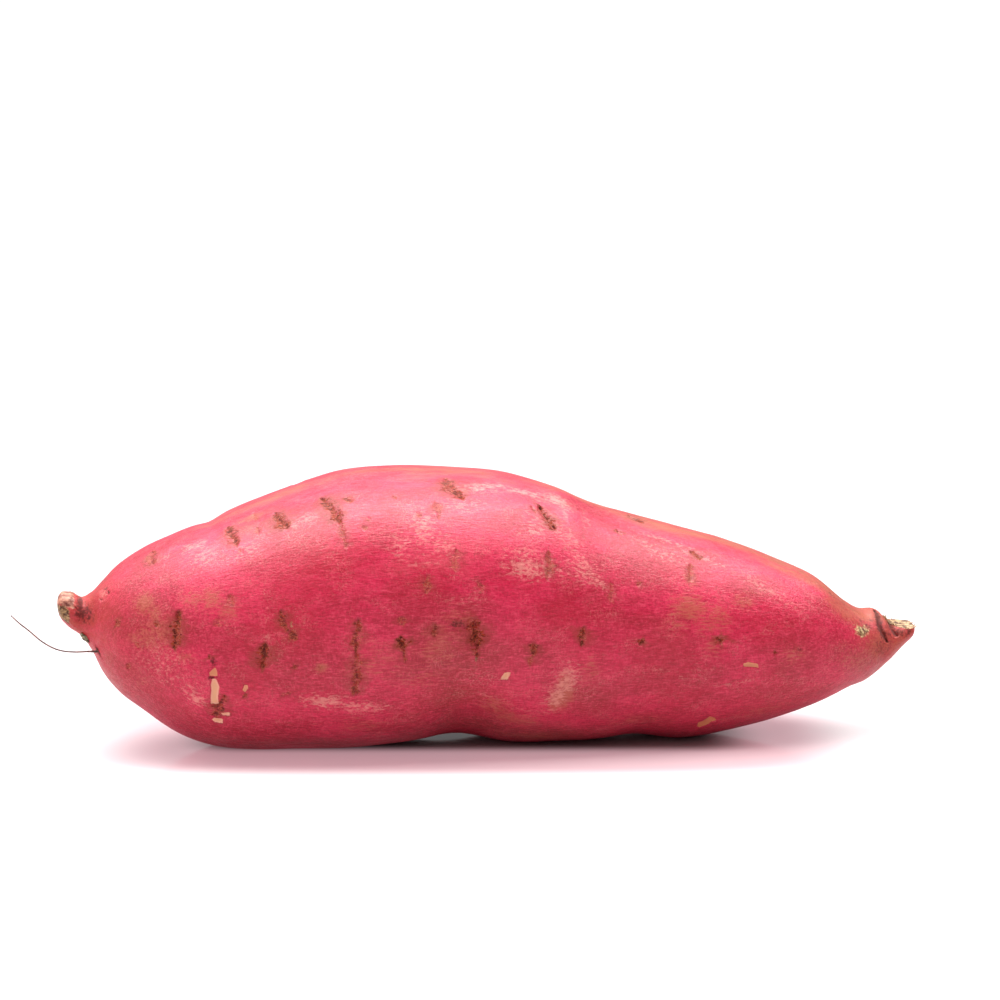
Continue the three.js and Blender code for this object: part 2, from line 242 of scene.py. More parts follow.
CHIPS = (
    # the long slash at the front, with the two short nicks under it
    Chip(((-65.5, -6.3), (-65.1, -8.3), (-65, -10.7), (-66.7, -10.7), (-66.8, -9.1)), 0.25, 0.85),
    Chip(
        (
            *((-66.1, -12.2), (-65.3, -12.2), (-65, -14.2), (-64.6, -16.4), (-64.8, -19.3), (-64.9, -22.2)),
            *((-64.7, -27), (-66.5, -26.2), (-66.5, -22.4), (-66.4, -18.3), (-66.5, -15.7), (-66.3, -13.7)),
        ),
        0.45,
    ),
    Chip(((-64.3, -32.2), (-63.6, -31.7), (-62.3, -31.4), (-62.3, -33.5), (-63.7, -33.6))),
    Chip(((-66.3, -37.8), (-65.7, -35.8), (-63.8, -35.9), (-63.8, -39.2), (-65.4, -39))),
    # the single nicks at the front
    Chip(((-59.2, -16.4), (-58.5, -16.3), (-58.3, -18), (-59, -20), (-59.6, -19.1)), 0.2, 0.7),
    Chip(((-1.7, -19), (-0.2, -18.3), (-0.9, -22.1), (-2.6, -22.5)), 0.35, 0.2),
    Chip(((53.6, -6.8), (54.8, -5.8), (57.2, -7.1), (57.4, -9.7), (55.6, -8.7), (53.8, -8.7)), 0.3, 0.75),
    Chip(
        (
            *((47.1, -41.5), (48.4, -43.5), (49.1, -46.5), (48, -47.3), (47.1, -50.5)),
            *((45.5, -52.4), (44.8, -50.9), (44.8, -46.8), (45.9, -45.3)),
        ),
        0.3,
        1,
    ),
    # the back
    Chip(((24, 167), (27.3, 169), (27.1, 171.5), (24.3, 170)), 0.35, 0.3),
    Chip(((-30.3, 214), (-29.2, 213), (-28.9, 206), (-30, 207)), 0.35, 0.1),
)

# Creases, which sink the skin and are darkened with painted shade.
CREASES = made(
    Stroke,
    # round the torn tail
    (((90.2, 84), (90.1, 59), (89.7, 41), (90.2, 26), (91.6, 6)), 2.5, 1, 1),
    (((93.1, 66), (93.4, 42), (94.6, 18)), 2.2, 0.8, 0.95),
    (((90.6, 100), (90.2, 140), (90.9, 170)), 1.1, 0.4, 0.7),
    (((88.4, 200), (88.9, 235), (88.2, 262)), 1, 0.3, 0.5),
    # round the neck of the crown
    (((-95.2, 90), (-95, 52), (-95.5, 22), (-95.4, 4)), 1.5, 0.35, 0.62),
    (((-94, 66), (-93.6, 40), (-93.6, 16)), 1.2, 0.2, 0.42),
    (((-95.1, 104), (-94.8, 150), (-95.1, 195)), 1, 0.35, 0.9),
    (((-88.4, 53), (-88.3, 47)), 1.1, 0.3, 0.8),
    (((-90.4, 45), (-89.6, 42)), 0.9, 0.2, 0.6),
)

# Pale scuffs, where the skin is rubbed thin, and pale patches of painted highlight along the lit upper band.
SCUFFS_AND_HIGHLIGHTS = made(
    Patch,
    (-70.4, 61, 1.3, 1, 1), (-69, 60, 3.4, 2.4, 0.55), (-76, 60, 2.6, 1.6, 0.45),
    (-71.5, -19, 1.7, 1.6, 0.55), (-69.3, -25, 2.8, 1.5, 0.95, -20), (-41.5, -27, 5, 1.8, 1, -10),
    (-34, -31, 6, 1.6, 0.7, -10), (-29, -33, 5, 1.4, 0.55, 4), (12.6, -20, 2.2, 4.6, 1, -24),
    (10.4, -28, 2.4, 4.6, 0.9, -24), (-76.5, -10, 7, 6, 0.34), (-46, 52, 4, 2.4, 0.5),
    (-19, 39, 2.6, 4.2, 0.75), (-15, 33, 3.4, 3.2, 0.5), (-24.5, 33, 3, 4.4, 0.45),
    (-20, 26, 6, 1.6, 0.3), (5.5, 43, 3.8, 2.6, 0.55, 30), (2.5, 30, 4.4, 2.6, 0.6, 16),
    (9.5, 28, 4.6, 2, 0.55, -10), (17.5, 33, 4.4, 1.6, 0.65, -38), (20, 27, 4.4, 1.2, 0.6, -34),
    (-6, 62, 7, 1, 0.7, 8), (6, 65, 6, 1.3, 1, -3), (13, 66, 3.4, 2.6, 1, -20),
    (4, 25, 6, 2.4, 0.85, 4), (17.5, 30, 4, 3.6, 0.7, -20), (-68, 52, 4, 4, 0.45), (14, 44, 4, 3, 0.5),
    (37, 50, 6, 3, 0.45), (-4, 66, 6, 1.6, 0.8, 10), (-19.5, 44, 3.4, 3, 0.6), (-36, 100, 8, 2, 0.5, 6),
    (-6, 108, 5, 3, 0.5, -14), (34, 104, 7, 1.6, 0.6, 10), (62, 112, 5, 1.4, 0.5, -8),
    (-10, 52, 6, 2.6, 0.45, 14), (-58, 46, 5, 2.6, 0.4, 20), (9, 50, 5, 3, 0.4),
    (37, 62, 9, 1.2, 0.6, -14), (48, 52, 10, 1.4, 0.4, -14), (-89.6, 52, 1.4, 1.8, 0.55),
    (9, 65, 3, 3.6, 0.5), (14, 57, 1.2, 6, 0.4), (19, 60, 1, 6.5, 0.4), (34, 55, 8, 1.4, 0.35, -10),
    (61, 40, 9, 2, 0.4, -24), (-9, -33, 8, 0.7, 0.45, 2), (1, -36, 6, 0.6, 0.4, -6),
    (-10.5, 10, 6, 1.2, 0.35), (52, -18, 6, 0.8, 0.35, 6), (38, -14, 7, 0.9, 0.3, -4),
    (-55, 4, 4, 1, 0.3, 10), (-46, 168, 6, 3, 0.7, 15), (-5, 172, 3.4, 5, 0.7, 20),
    (34, 196, 6, 2, 0.7, -12), (-60, 214, 3.4, 3.4, 0.6), (12, 210, 5, 2, 0.6),
    (-30, 118, 9, 1.2, 0.6, 8), (48, 150, 6, 1.4, 0.6, -12),
)

# Tan and olive hazes, where the skin is thin over the flesh or stained by soil.
HAZES = made(
    Patch,
    (-80.5, 29, 2.6, 3, 0.9), (-77.5, 10, 4, 5, 0.6), (-78.2, 21, 1.8, 2.6, 0.7),
    (-66, 27, 2.6, 3.6, 0.75), (-62.5, 20, 2.6, 3.6, 0.6), (-83, 4, 2, 1.6, 0.6),
    (-72, -2, 2.6, 1.6, 0.6), (-56.5, 68, 5, 2, 0.7), (-57, 60, 3, 2.4, 0.5),
    (-42.5, -12, 1.8, 1.4, 0.75), (-31, -12, 9, 6, 0.4), (-16.5, -8, 6.5, 6.5, 0.5),
    (-12, 3, 5, 3.4, 0.5), (-20, -20, 9, 4, 0.4), (-3, -38, 4.6, 4.6, 0.6), (-33, -42, 8, 4, 0.45),
    (12.2, -21, 1.8, 2.6, 1), (10.2, -32, 1.8, 2.6, 1), (41, 22, 5.4, 4, 0.8, 20),
    (48, 20, 3.4, 3.4, 0.6), (42, 37, 2.4, 3, 0.6), (54, 30, 3.4, 2.6, 0.6), (56, 36, 3.4, 1.6, 0.4),
    (46.5, 2, 3, 3, 0.5), (11.6, -28, 2.6, 5, 1, -20), (12.6, -24, 2.4, 4.6, 0.6, -20),
    (38, 12, 4, 3, 0.5), (-80, 5, 4, 4, 0.6), (18, -14, 3, 4, 0.5), (2, -44, 7, 3.4, 0.6),
    (46, 16, 6, 4, 0.55), (80, 48, 6, 4, 0.9), (86, 60, 4, 3, 0.9), (89, 8, 6, 5, 0.7),
    (95, 0, 4, 4, 0.7), (-70, 28, 4, 3.4, 0.55), (66, -2, 4, 3, 0.5), (46, 79, 30, 2.8, 0.75),
    (78, 70, 9, 3.4, 0.8), (66, 66, 10, 2.4, 0.5), (20, 82, 12, 2.6, 0.6), (-24, 84, 22, 2.6, 0.6),
    (-62, 82, 12, 2.4, 0.6), (30, -44, 10, 3, 0.4), (60, -44, 12, 3, 0.45), (8, -60, 8, 4, 0.5),
    (82, -6, 7, 5, 0.5), (-82, -30, 4, 7, 0.35), (-50, 130, 9, 5, 0.5), (5, 190, 8, 5, 0.5),
    (40, 160, 7, 4, 0.55), (-25, 176, 7, 6, 0.5), (-66, 170, 5, 6, 0.5), (62, 200, 8, 5, 0.5),
)

# Brown and dark red stains.
STAINS = made(
    Patch,
    (-65.9, -3.5, 0.7, 1.2, 0.9), (-66.2, -11.5, 1.1, 0.45, 1), (-91, -33, 0.8, 0.9, 1),
    (-93.2, 22, 1.8, 2.8, 0.72), (-94.8, 44, 1, 5, 1), (-94, 18, 1.4, 2.4, 0.8),
    (-95.4, 10, 0.9, 1, 0.85), (-94.9, 74, 0.8, 0.8, 0.8), (-95.1, 46, 0.7, 0.9, 0.85),
    (-95.6, 26, 0.6, 0.7, 0.8), (-94.6, 16, 0.6, 0.7, 0.8), (-97.6, 22, 0.9, 0.5, 0.9),
    (-98.6, -20, 0.6, 0.5, 0.8), (-98.2, 4, 1.2, 0.5, 0.8), (-88.9, 58, 0.6, 0.8, 0.6),
    (-73.5, 60, 2.4, 1.4, 0.4), (-12.5, 1, 2, 1.4, 0.7), (-9, -5, 2.6, 3.2, 0.55),
    (86.6, 41, 1.2, 1.2, 0.7), (85, 46, 1, 1.4, 0.6), (84.9, 33, 0.7, 0.6, 0.8),
    (93.4, 40, 3, 2.2, 0.5), (95.6, 24, 2.6, 1.6, 0.6), (94.5, 30, 1.8, 1.6, 0.8),
    (97.4, 14, 1.8, 1.1, 0.7), (90, 2, 3.2, 3.6, 0.5), (92, 30, 1.6, 3, 0.5), (87.6, 52, 1.8, 2, 0.5),
    (67.2, 2, 1.4, 0.8, 0.6), (31, 77, 3.4, 0.9, 0.5), (46, 61, 1.6, 1, 0.45),
)

# Cream and olive flakes of dead skin.
FLAKES = made(
    Patch,
    (84.2, 30, 2.1, 2, 1), (85.6, 34, 1.6, 1.6, 0.8), (-98.4, -6, 0.8, 0.7, 0.6),
    (-48.9, 8, 0.6, 0.8, 0.6), (-8.2, -14, 0.6, 0.9, 0.7),
)

# Wide washes of duller, browner red; those on the underside are also painted shade there.
WASHES_AND_SHADE = made(
    Patch,
    (-24, -12, 9, 6, 0.4), (-10, -16, 12, 9, 0.55), (-12, -34, 12, 6, 0.85), (8, -8, 10, 6, 0.35),
    (16, -26, 9, 8, 0.45), (34, 6, 9, 6, 0.3), (36, -52, 20, 6, 0.5), (-82, 14, 7, 8, 0.35),
    (-44, -58, 24, 6, 0.45), (6, -58, 24, 7, 0.95), (64, -44, 20, 7, 0.45), (70, 8, 12, 10, 0.4),
    (90, 0, 9, 16, 0.75), (88, 180, 14, 16, 0.6), (-12, 190, 24, 9, 0.4), (-50, 170, 14, 12, 0.3),
    (40, 200, 20, 10, 0.4), (0, 270, 60, 26, 0.4),
)

# Zones where the skin is thickest and its magenta the deepest.
RICHES = made(
    Patch,
    (-42, 30, 15, 10, 1), (-40, 40, 10, 5, 0.7), (38, 42, 8, 4, 0.7), (-76, -34, 7, 6, 0.6),
    (-50, 8, 11, 9, 0.9), (-20, 20, 11, 7, 0.8), (-58, -14, 7, 7, 0.8), (-44, -24, 9, 5, 0.5),
    (0, 20, 12, 5, 0.7), (12, 8, 11, 6, 0.8), (34, -8, 12, 8, 0.7), (38, -26, 9, 7, 0.5),
    (58, 16, 10, 6, 0.7), (60, -22, 11, 7, 0.5), (12, 44, 7, 4, 0.6), (-76, -14, 8, 10, 0.5),
    (-30, 150, 20, 12, 0.8), (20, 158, 20, 10, 0.8), (-60, 196, 12, 12, 0.7), (10, 222, 24, 10, 0.7),
)

PATCHES = {
    Field.SCUFF_AND_HIGHLIGHT: SCUFFS_AND_HIGHLIGHTS,
    Field.HAZE: HAZES,
    Field.STAIN_AND_SHADE: STAINS,
    Field.FLAKE: FLAKES,
    Field.WASH_AND_SHADE: WASHES_AND_SHADE,
    Field.RICH: RICHES,
}


def shifted(points: Array) -> Array:
    """Turns the form's millimetres into the frame's metres.

    Args:
        points: places in the form's millimetres, one a row.

    Returns:
        The same places in metres, with the origin at the footprint's middle.
    """
    return (points - np.array([*FOOTPRINT_MIDDLE, 0.0])) * MM


def ramp(value: Array, start: float, end: float) -> Array:
    """Rises evenly from 0 at one value to 1 at another."""
    return np.clip((value - start) / (end - start), 0, 1)


def swelling(swell: tuple[float, ...], x: Array, turn: Array) -> Array:
    """Gives the height of one swell or hollow at some places.

    Args:
        swell: its x, turn, height, span along x and span in degrees.
        x: places along the root.
        turn: turns round it.

    Returns:
        Heights in millimetres.
    """
    at_x, at_turn, rise, span_x, span_turn = swell
    away = (turn - at_turn + 180) % 360 - 180
    return rise * np.exp(-(((x - at_x) / span_x) ** 2) - (away / span_turn) ** 2)


@dataclass
class RootForm:
    """The root's outer form, from the same sections and swells as the CAD solid."""

    section_power: float = 2.12
    swell_full_width: float = 12.0  # half the section's width from which a swell has its full height
    table_steps: int = 4000
    slope_reach: float = 0.4  # how far to either side of a place its slope is taken

    def __post_init__(self) -> None:
        """Works out the sections past the poles and each section's distance along the outline."""
        rows = np.array(OUTLINE)
        swap = [0, 2, 1, 4, 3]
        self.rows = np.vstack([rows[1][swap], rows, rows[-2][swap]])
        half = (self.rows[:, 2] - self.rows[:, 1]) / 2
        steps = np.hypot(np.diff(self.rows[:, 0]), np.diff(half))
        self.knots = np.concatenate([[0.0], np.cumsum(steps)])
        self.start = self.knots[1]
        self.end = self.knots[-2]
        fine = np.linspace(self.start, self.end, self.table_steps)
        self._table = (self.sections(fine)[:, 0], fine)

    def sections(self, along: Array) -> Array:
        """Gives the sections at some distances along the outline.

        Args:
            along: distances in millimetres, from start to end.

        Returns:
            A row of x, underside, top, front and back for each distance.
        """
        i = np.clip(np.searchsorted(self.knots, along, side="right") - 1, 1, len(self.knots) - 3)
        before, here, after, beyond = (self.rows[i + k] for k in (-1, 0, 1, 2))
        gap_in, gap, gap_out = ((self.knots[i + k + 1] - self.knots[i + k])[:, None] for k in (-1, 0, 1))
        share = (along - self.knots[i])[:, None] / gap
        rise = after - here
        leave = ((here - before) / gap_in * gap + rise / gap * gap_in) / (gap_in + gap) * gap
        arrive = (rise / gap * gap_out + (beyond - after) / gap_out * gap) / (gap + gap_out) * gap
        bend = 3 * rise - 2 * leave - arrive
        turn_back = leave + arrive - 2 * rise
        return here + share * (leave + share * (bend + share * turn_back))

    def along_at(self, x: Array) -> Array:
        """Gives the distance along the outline at each x."""
        return np.interp(x, *self._table)

    def points(self, along: Array, turn: Array, lift: Array | float = 0.0) -> Array:
        """Gives points of the skin.

        Args:
            along: distances along the outline in millimetres.
            turn: turns round the root in degrees.
            lift: how far each point stands off the smooth skin, in millimetres.

        Returns:
            One point a row, in the form's millimetres, not yet pressed flat on the table.
        """
        x, under, top, front, back = self.sections(along).T
        ahead = np.cos(np.radians(turn))
        up = np.sin(np.radians(turn))
        power = self.section_power
        reach = (np.abs(ahead) ** power + np.abs(up) ** power) ** (-1 / power)
        half_width = (back - front) / 2
        half_height = (top - under) / 2
        swell = sum(swelling(one, x, turn) for one in SWELLS)
        swell = swell * np.minimum(1, half_width / self.swell_full_width) + lift
        y = (back + front) / 2 - (half_width * reach + swell) * ahead
        z = (top + under) / 2 + (half_height * reach + swell) * up
        return np.stack([x, y, z], axis=1)

    def place(self, x: float, turn: float, lift: float = 0.0) -> Array:
        """Gives one point of the skin by its x and turn."""
        return self.points(self.along_at(np.array([x])), np.array([float(turn)]), lift)[0]

    def degree_length(self, x: float, turn: float) -> float:
        """Gives how many millimetres one degree of turn is at a place."""
        return float(np.linalg.norm(self.place(x, turn + 1) - self.place(x, turn - 1)) / 2)

    def slope_length(self, x: float, turn: float) -> float:
        """Gives how many millimetres of skin one millimetre of x is at a place."""
        reach = self.slope_reach
        return float(np.linalg.norm(self.place(x + reach, turn) - self.place(x - reach, turn)) / (2 * reach))


FORM = RootForm()


class Shader:
    """A small hand for building a material's or a group's nodes."""

    def __init__(self, tree: bpy.types.NodeTree) -> None:
        """Keeps the node tree that nodes are added to."""
        self.tree = tree

    def add(self, kind: str, **settings: object) -> bpy.types.Node:
        """Adds a node and sets its properties.

        Args:
            kind: the node's type name.
            settings: properties of the node, by name.

        Returns:
            The new node.
        """
        node = self.tree.nodes.new(kind)
        for name, value in settings.items():
            setattr(node, name, value)
        return node

    def feed(self, socket: bpy.types.NodeSocket, source: object) -> None:
        """Feeds a socket.

        Args:
            socket: the socket that is fed.
            source: another socket, which is linked to it, or a plain value.
        """
        if isinstance(source, bpy.types.NodeSocket):
            self.tree.links.new(source, socket)
        else:
            socket.default_value = source

    def math(self, operation: str, a: object, b: object = 0.0, clamp: bool = False) -> object:
        """Works out one sum.

        Args:
            operation: the sum's name.
            a: the first value.
            b: the second value.
            clamp: whether the outcome is kept between 0 and 1.

        Returns:
            The outcome.
        """
        node = self.add("ShaderNodeMath", operation=operation, use_clamp=clamp)
        self.feed(node.inputs[0], a)
        self.feed(node.inputs[1], b)
        return node.outputs[0]

    def step(self, value: object, low: float, high: float, to: tuple[float, float] = (0, 1)) -> object:
        """Turns a value between two limits smoothly into another range.

        Args:
            value: the value that is read.
            low: the limit that gives the first number of the range.
            high: the limit that gives the second.
            to: the range that is given out.

        Returns:
            The node's result.
        """
        node = self.add("ShaderNodeMapRange", interpolation_type="SMOOTHSTEP")
        self.feed(node.inputs["Value"], value)
        for name, limit in (("From Min", low), ("From Max", high), ("To Min", to[0]), ("To Max", to[1])):
            node.inputs[name].default_value = limit
        return node.outputs["Result"]

    def mix(self, share: object, first: object, second: object) -> object:
        """Mixes two colours.

        Args:
            share: how much of the second colour there is.
            first: a colour socket or a colour.
            second: a colour socket or a colour.

        Returns:
            The mixed colour.
        """
        node = self.add("ShaderNodeMix", data_type="RGBA", clamp_factor=True)
        self.feed(node.inputs[0], share)
        self.feed(node.inputs[6], first)
        self.feed(node.inputs[7], second)
        return node.outputs[2]

    def stretched(self, scale: tuple[float, float, float]) -> object:
        """Gives the piece's own coordinates in millimetres.

        Args:
            scale: how they are scaled along each axis.

        Returns:
            The scaled coordinates.
        """
        place = self.add("ShaderNodeTexCoord")
        mapping = self.add("ShaderNodeMapping")
        self.feed(mapping.inputs["Vector"], place.outputs["Object"])
        mapping.inputs["Scale"].default_value = tuple(s / MM for s in scale)
        return mapping.outputs[0]

    def noise(
        self,
        stretch: tuple[float, float, float],
        scale: object,
        detail: float = 2.0,
        rough: float = 0.5,
        warp: float = 0.0,
    ) -> object:
        """Gives a soft noise over the piece.

        Args:
            stretch: how it is stretched along each axis; the less, the longer.
            scale: its grains in a millimetre.
            detail: how many finer layers it has.
            rough: how strong the finer layers are.
            warp: how much it is warped.

        Returns:
            The noise's value.
        """
        place = self.stretched(stretch)
        node = self.add("ShaderNodeTexNoise")
        values = {"Vector": place, "Scale": scale, "Detail": detail, "Roughness": rough, "Distortion": warp}
        for name, value in values.items():
            self.feed(node.inputs[name], value)
        return node.outputs["Fac"]

    def flecked(self, mask: object, grain: object, soft: float, start: float = 0.72) -> object:
        """Breaks a soft mask up into flecks by a grain.

        Args:
            mask: the soft mask, from 0 to 1.
            grain: the noise that breaks it up.
            soft: how soft the flecks' edges are.
            start: the level from which there are flecks; the lower, the more of them.

        Returns:
            The flecked mask.
        """
        level = self.math("ADD", grain, self.math("MULTIPLY", mask, 0.6))
        share = self.step(level, start, start + soft)
        return self.math("MULTIPLY", share, self.step(mask, 0.02, 0.2))

    def attribute(self, field: Field) -> object:
        """Gives a number stored on the mesh."""
        return self.add("ShaderNodeAttribute", attribute_name=field.value).outputs["Fac"]

    def scaled(self, mask: object, share: object) -> object:
        """Gives two values' product."""
        return self.math("MULTIPLY", mask, share)

    def wood(
        self, grain: bpy.types.NodeTree, dark: Colour, pale: Colour, grains_in_mm: float
    ) -> bpy.types.Node:
        """Places the group of dry woody grain with its own values.

        Args:
            grain: the group.
            dark: the colour of the dark grains.
            pale: the colour of the pale ones.
            grains_in_mm: how many grains a millimetre has.

        Returns:
            The group's node.
        """
        wood = self.add("ShaderNodeGroup", node_tree=grain)
        wood.inputs["Dark"].default_value = dark
        wood.inputs["Pale"].default_value = pale
        wood.inputs["Grains in a mm"].default_value = grains_in_mm
        return wood

    def bump(self, surface: bpy.types.Node, height: object, strength: float, distance: float) -> None:
        """Gives a surface its fine relief.

        Args:
            surface: the surface shader.
            height: the relief's height.
            strength: how strong it is.
            distance: how deep it is, in metres.
        """
        bump = self.add("ShaderNodeBump")
        bump.inputs["Strength"].default_value = strength
        bump.inputs["Distance"].default_value = distance
        self.feed(bump.inputs["Height"], height)
        self.feed(surface.inputs["Normal"], bump.outputs["Normal"])


def started(name: str) -> tuple[bpy.types.Material, Shader, bpy.types.Node]:
    """Starts a material.

    Args:
        name: its name.

    Returns:
        The material, the hand for its nodes and its surface shader.
    """
    material = bpy.data.materials.new(name)
    material.use_nodes = True
    return material, Shader(material.node_tree), material.node_tree.nodes["Principled BSDF"]


def srgb(red: int, green: int, blue: int) -> Colour:
    """Turns screen values into a linear colour.

    Args:
        red: from 0 to 255.
        green: from 0 to 255.
        blue: from 0 to 255.

    Returns:
        The linear colour, fully opaque.
    """
    shares = (channel / 255 for channel in (red, green, blue))
    return (*(c / 12.92 if c <= 0.04045 else ((c + 0.055) / 1.055) ** 2.4 for c in shares), 1.0)


def woody_grain_group() -> bpy.types.NodeTree:
    """Builds the grain of dry woody tissue, for the root's ends, its hair, its scab and its fibres.

    Returns:
        A node group that turns a dark and a pale colour into a grained colour and a height.
    """
    tree = bpy.data.node_groups.new("woody_grain", "ShaderNodeTree")
    for name in ("Dark", "Pale"):
        tree.interface.new_socket(name=name, in_out="INPUT", socket_type="NodeSocketColor")
    tree.interface.new_socket(name="Grains in a mm", in_out="INPUT", socket_type="NodeSocketFloat")
    tree.interface.new_socket(name="Color", in_out="OUTPUT", socket_type="NodeSocketColor")
    tree.interface.new_socket(name="Height", in_out="OUTPUT", socket_type="NodeSocketFloat")
    shader = Shader(tree)
    given = shader.add("NodeGroupInput")
    result = shader.add("NodeGroupOutput")
    grains = shader.noise((0.55, 1.0, 1.0), given.outputs["Grains in a mm"], 4.0, 0.65)
    share = shader.step(grains, 0.38, 0.64)
    shader.feed(result.inputs["Color"], shader.mix(share, given.outputs["Dark"], given.outputs["Pale"]))
    shader.feed(result.inputs["Height"], share)
    return tree


@dataclass(frozen=True)
class SkinFinish:
    """The thin magenta skin with its streaks, scuffs, hazes, eyes, nicks, woody ends and painted light."""

    deep: Colour = srgb(172, 10, 50)
    bright: Colour = srgb(212, 24, 78)
    shadow: Colour = srgb(142, 6, 32)
    rich: Colour = srgb(182, 2, 46)
    fibre: Colour = srgb(228, 72, 102)
    # the pale of the scuffs and threads, and of the painted highlights on the upper band
    scuff_and_highlight: Colour = srgb(228, 150, 140)
    haze: Colour = srgb(178, 92, 70)
    crest: Colour = srgb(168, 88, 68)
    # the duller red of the washes, and of the painted shade on the underside
    dull: Colour = srgb(146, 44, 38)
    end: Colour = srgb(172, 62, 42)
    # the dark red of the stains, also used for the painted shade in the creases
    stain_and_shade: Colour = srgb(68, 8, 2)
    flake_dark: Colour = srgb(96, 66, 38)
    flake_pale: Colour = srgb(218, 190, 140)
    eye_halo: Colour = srgb(132, 46, 26)
    eye_rib: Colour = srgb(92, 16, 6)
    eye_rust: Colour = srgb(160, 48, 18)
    # the dark scar tissue in the eyes' slits, and the painted shade there
    eye_dark_and_shade: Colour = srgb(70, 10, 3)
    eye_pale: Colour = srgb(214, 140, 100)
    flesh: Colour = srgb(236, 176, 150)
    flesh_core: Colour = srgb(222, 168, 126)
    flesh_dry: Colour = srgb(208, 128, 88)
    knob_pale: Colour = srgb(206, 142, 118)
    knob_dark: Colour = srgb(122, 62, 50)
    pit_pale: Colour = srgb(172, 138, 92)
    pit_dark: Colour = srgb(78, 46, 22)
    torn_pale: Colour = srgb(208, 174, 132)
    torn_dark: Colour = srgb(88, 54, 32)
    roughness: float = 0.4
    ior: float = 1.44
    relief: tuple[float, float] = (0.36, 0.00034)  # the bump's strength and its distance in metres

    def material(self, grain: bpy.types.NodeTree) -> bpy.types.Material:
        """Builds the material.

        Args:
            grain: the node group of dry woody grain.

        Returns:
            The skin's material.
        """
        material, shader, surface = started("skin")
        crumbs = shader.noise((1, 1, 1), 2.6, 4, 0.7)
        ribs = shader.noise((0.2, 1, 1), 2.1, 3, 0.6, 0.5)
        colour = self._living_skin(shader, ribs)
        colour = self._worn(shader, colour, ribs)
        colour = self._ends(shader, colour, grain)
        colour, eyes = self._eyes(shader, colour, ribs, crumbs)
        colour, bare = self._chips(shader, colour, crumbs)
        shader.feed(surface.inputs["Base Color"], colour)
        surface.inputs["IOR"].default_value = self.ior
        self._surface(shader, surface, (ribs, crumbs, eyes, bare))
        return material

    def _living_skin(self, shader: Shader, ribs: object) -> object:
        """Gives the sound skin's colour: clouds, mottling, short crossing fibres and pale threads.

        Args:
            shader: the material's nodes.
            ribs: the noise of the fine ribs along the root.

        Returns:
            The colour.
        """
        clouds = shader.noise((0.55, 1, 1), 0.085, 4, 0.55)
        colour = shader.mix(shader.step(clouds, 0.38, 0.62), self.deep, self.bright)
        mottle = shader.noise((0.42, 1, 1), 0.5, 6, 0.68)
        rich = shader.scaled(shader.attribute(Field.RICH), shader.step(mottle, 0.72, 0.4, (0.5, 0.95)))
        colour = shader.mix(rich, colour, self.rich)
        colour = shader.mix(shader.step(mottle, 0.5, 0.78, (0, 0.26)), colour, self.fibre)
        colour = shader.mix(shader.step(mottle, 0.5, 0.26, (0, 0.4)), colour, self.shadow)
        # duller red washes, which on the underside are painted shade
        wash_and_shade = shader.scaled(shader.attribute(Field.WASH_AND_SHADE), shader.step(mottle, 0.3, 0.62, (0.7, 1.0)))
        colour = shader.mix(wash_and_shade, colour, self.dull)
        grain = shader.noise((0.2, 1, 1), 3.2, 2, 0.6, 0.8)
        cross = shader.noise((0.9, 0.3, 0.3), 3.0, 2, 0.5, 0.6)
        calm = shader.step(shader.attribute(Field.RICH), 0, 1, (1.0, 0.5))
        for layer, gain in ((ribs, 1.0), (grain, 1.1), (cross, 0.6)):
            pale = shader.scaled(shader.step(layer, 0.52, 0.68, (0, 0.42 * gain)), calm)
            colour = shader.mix(pale, colour, self.fibre)
            dark = shader.step(layer, 0.47, 0.33, (0, 0.42 * gain))
            colour = shader.mix(dark, colour, self.shadow)
        gate = shader.step(shader.noise((0.7, 1, 1), 0.22, 4), 0.46, 0.7, (0.03, 0.22))
        for scale, stretch in ((1.9, (0.4, 1, 1)), (1.5, (1, 0.5, 0.6))):
            wander = shader.noise(stretch, scale, 2, 0.5)
            ridge = shader.math("ABSOLUTE", shader.math("SUBTRACT", wander, 0.5))
            thread = shader.scaled(shader.step(ridge, 0.035, 0.002), gate)
            colour = shader.mix(thread, colour, self.scuff_and_highlight)
        patchy = shader.step(clouds, 0.3, 0.7, (-0.45, 0.35))
        crest = shader.step(shader.math("ADD", shader.attribute(Field.CREST), patchy), 0.15, 1.0)
        crest = shader.scaled(crest, shader.step(mottle, 0.3, 0.66, (0.35, 1.0)))
        return shader.mix(crest, colour, self.crest)

    def _worn(self, shader: Shader, colour: object, ribs: object) -> object:
        """Adds the tan hazes, the pale scuffs and the pale patches of painted highlight, broken up by fine
        grain.

        Args:
            shader: the material's nodes.
            colour: the colour below.
            ribs: the noise of the fine ribs along the root.

        Returns:
            The new colour.
        """
        haze = shader.flecked(shader.attribute(Field.HAZE), ribs, 0.42, 0.62)
        colour = shader.mix(shader.scaled(haze, 0.72), colour, self.haze)
        sweeps = shader.noise((0.5, 1, 1), 1.5, 4, 0.7, 0.5)
        streaks = shader.step(sweeps, 0.34, 0.66, (0.24, 0.76))
        # pale scuffs, and painted highlights on the upper band
        scuff_and_highlight = shader.flecked(shader.attribute(Field.SCUFF_AND_HIGHLIGHT), streaks, 0.56, 0.62)
        return shader.mix(shader.scaled(scuff_and_highlight, 0.62), colour, self.scuff_and_highlight)

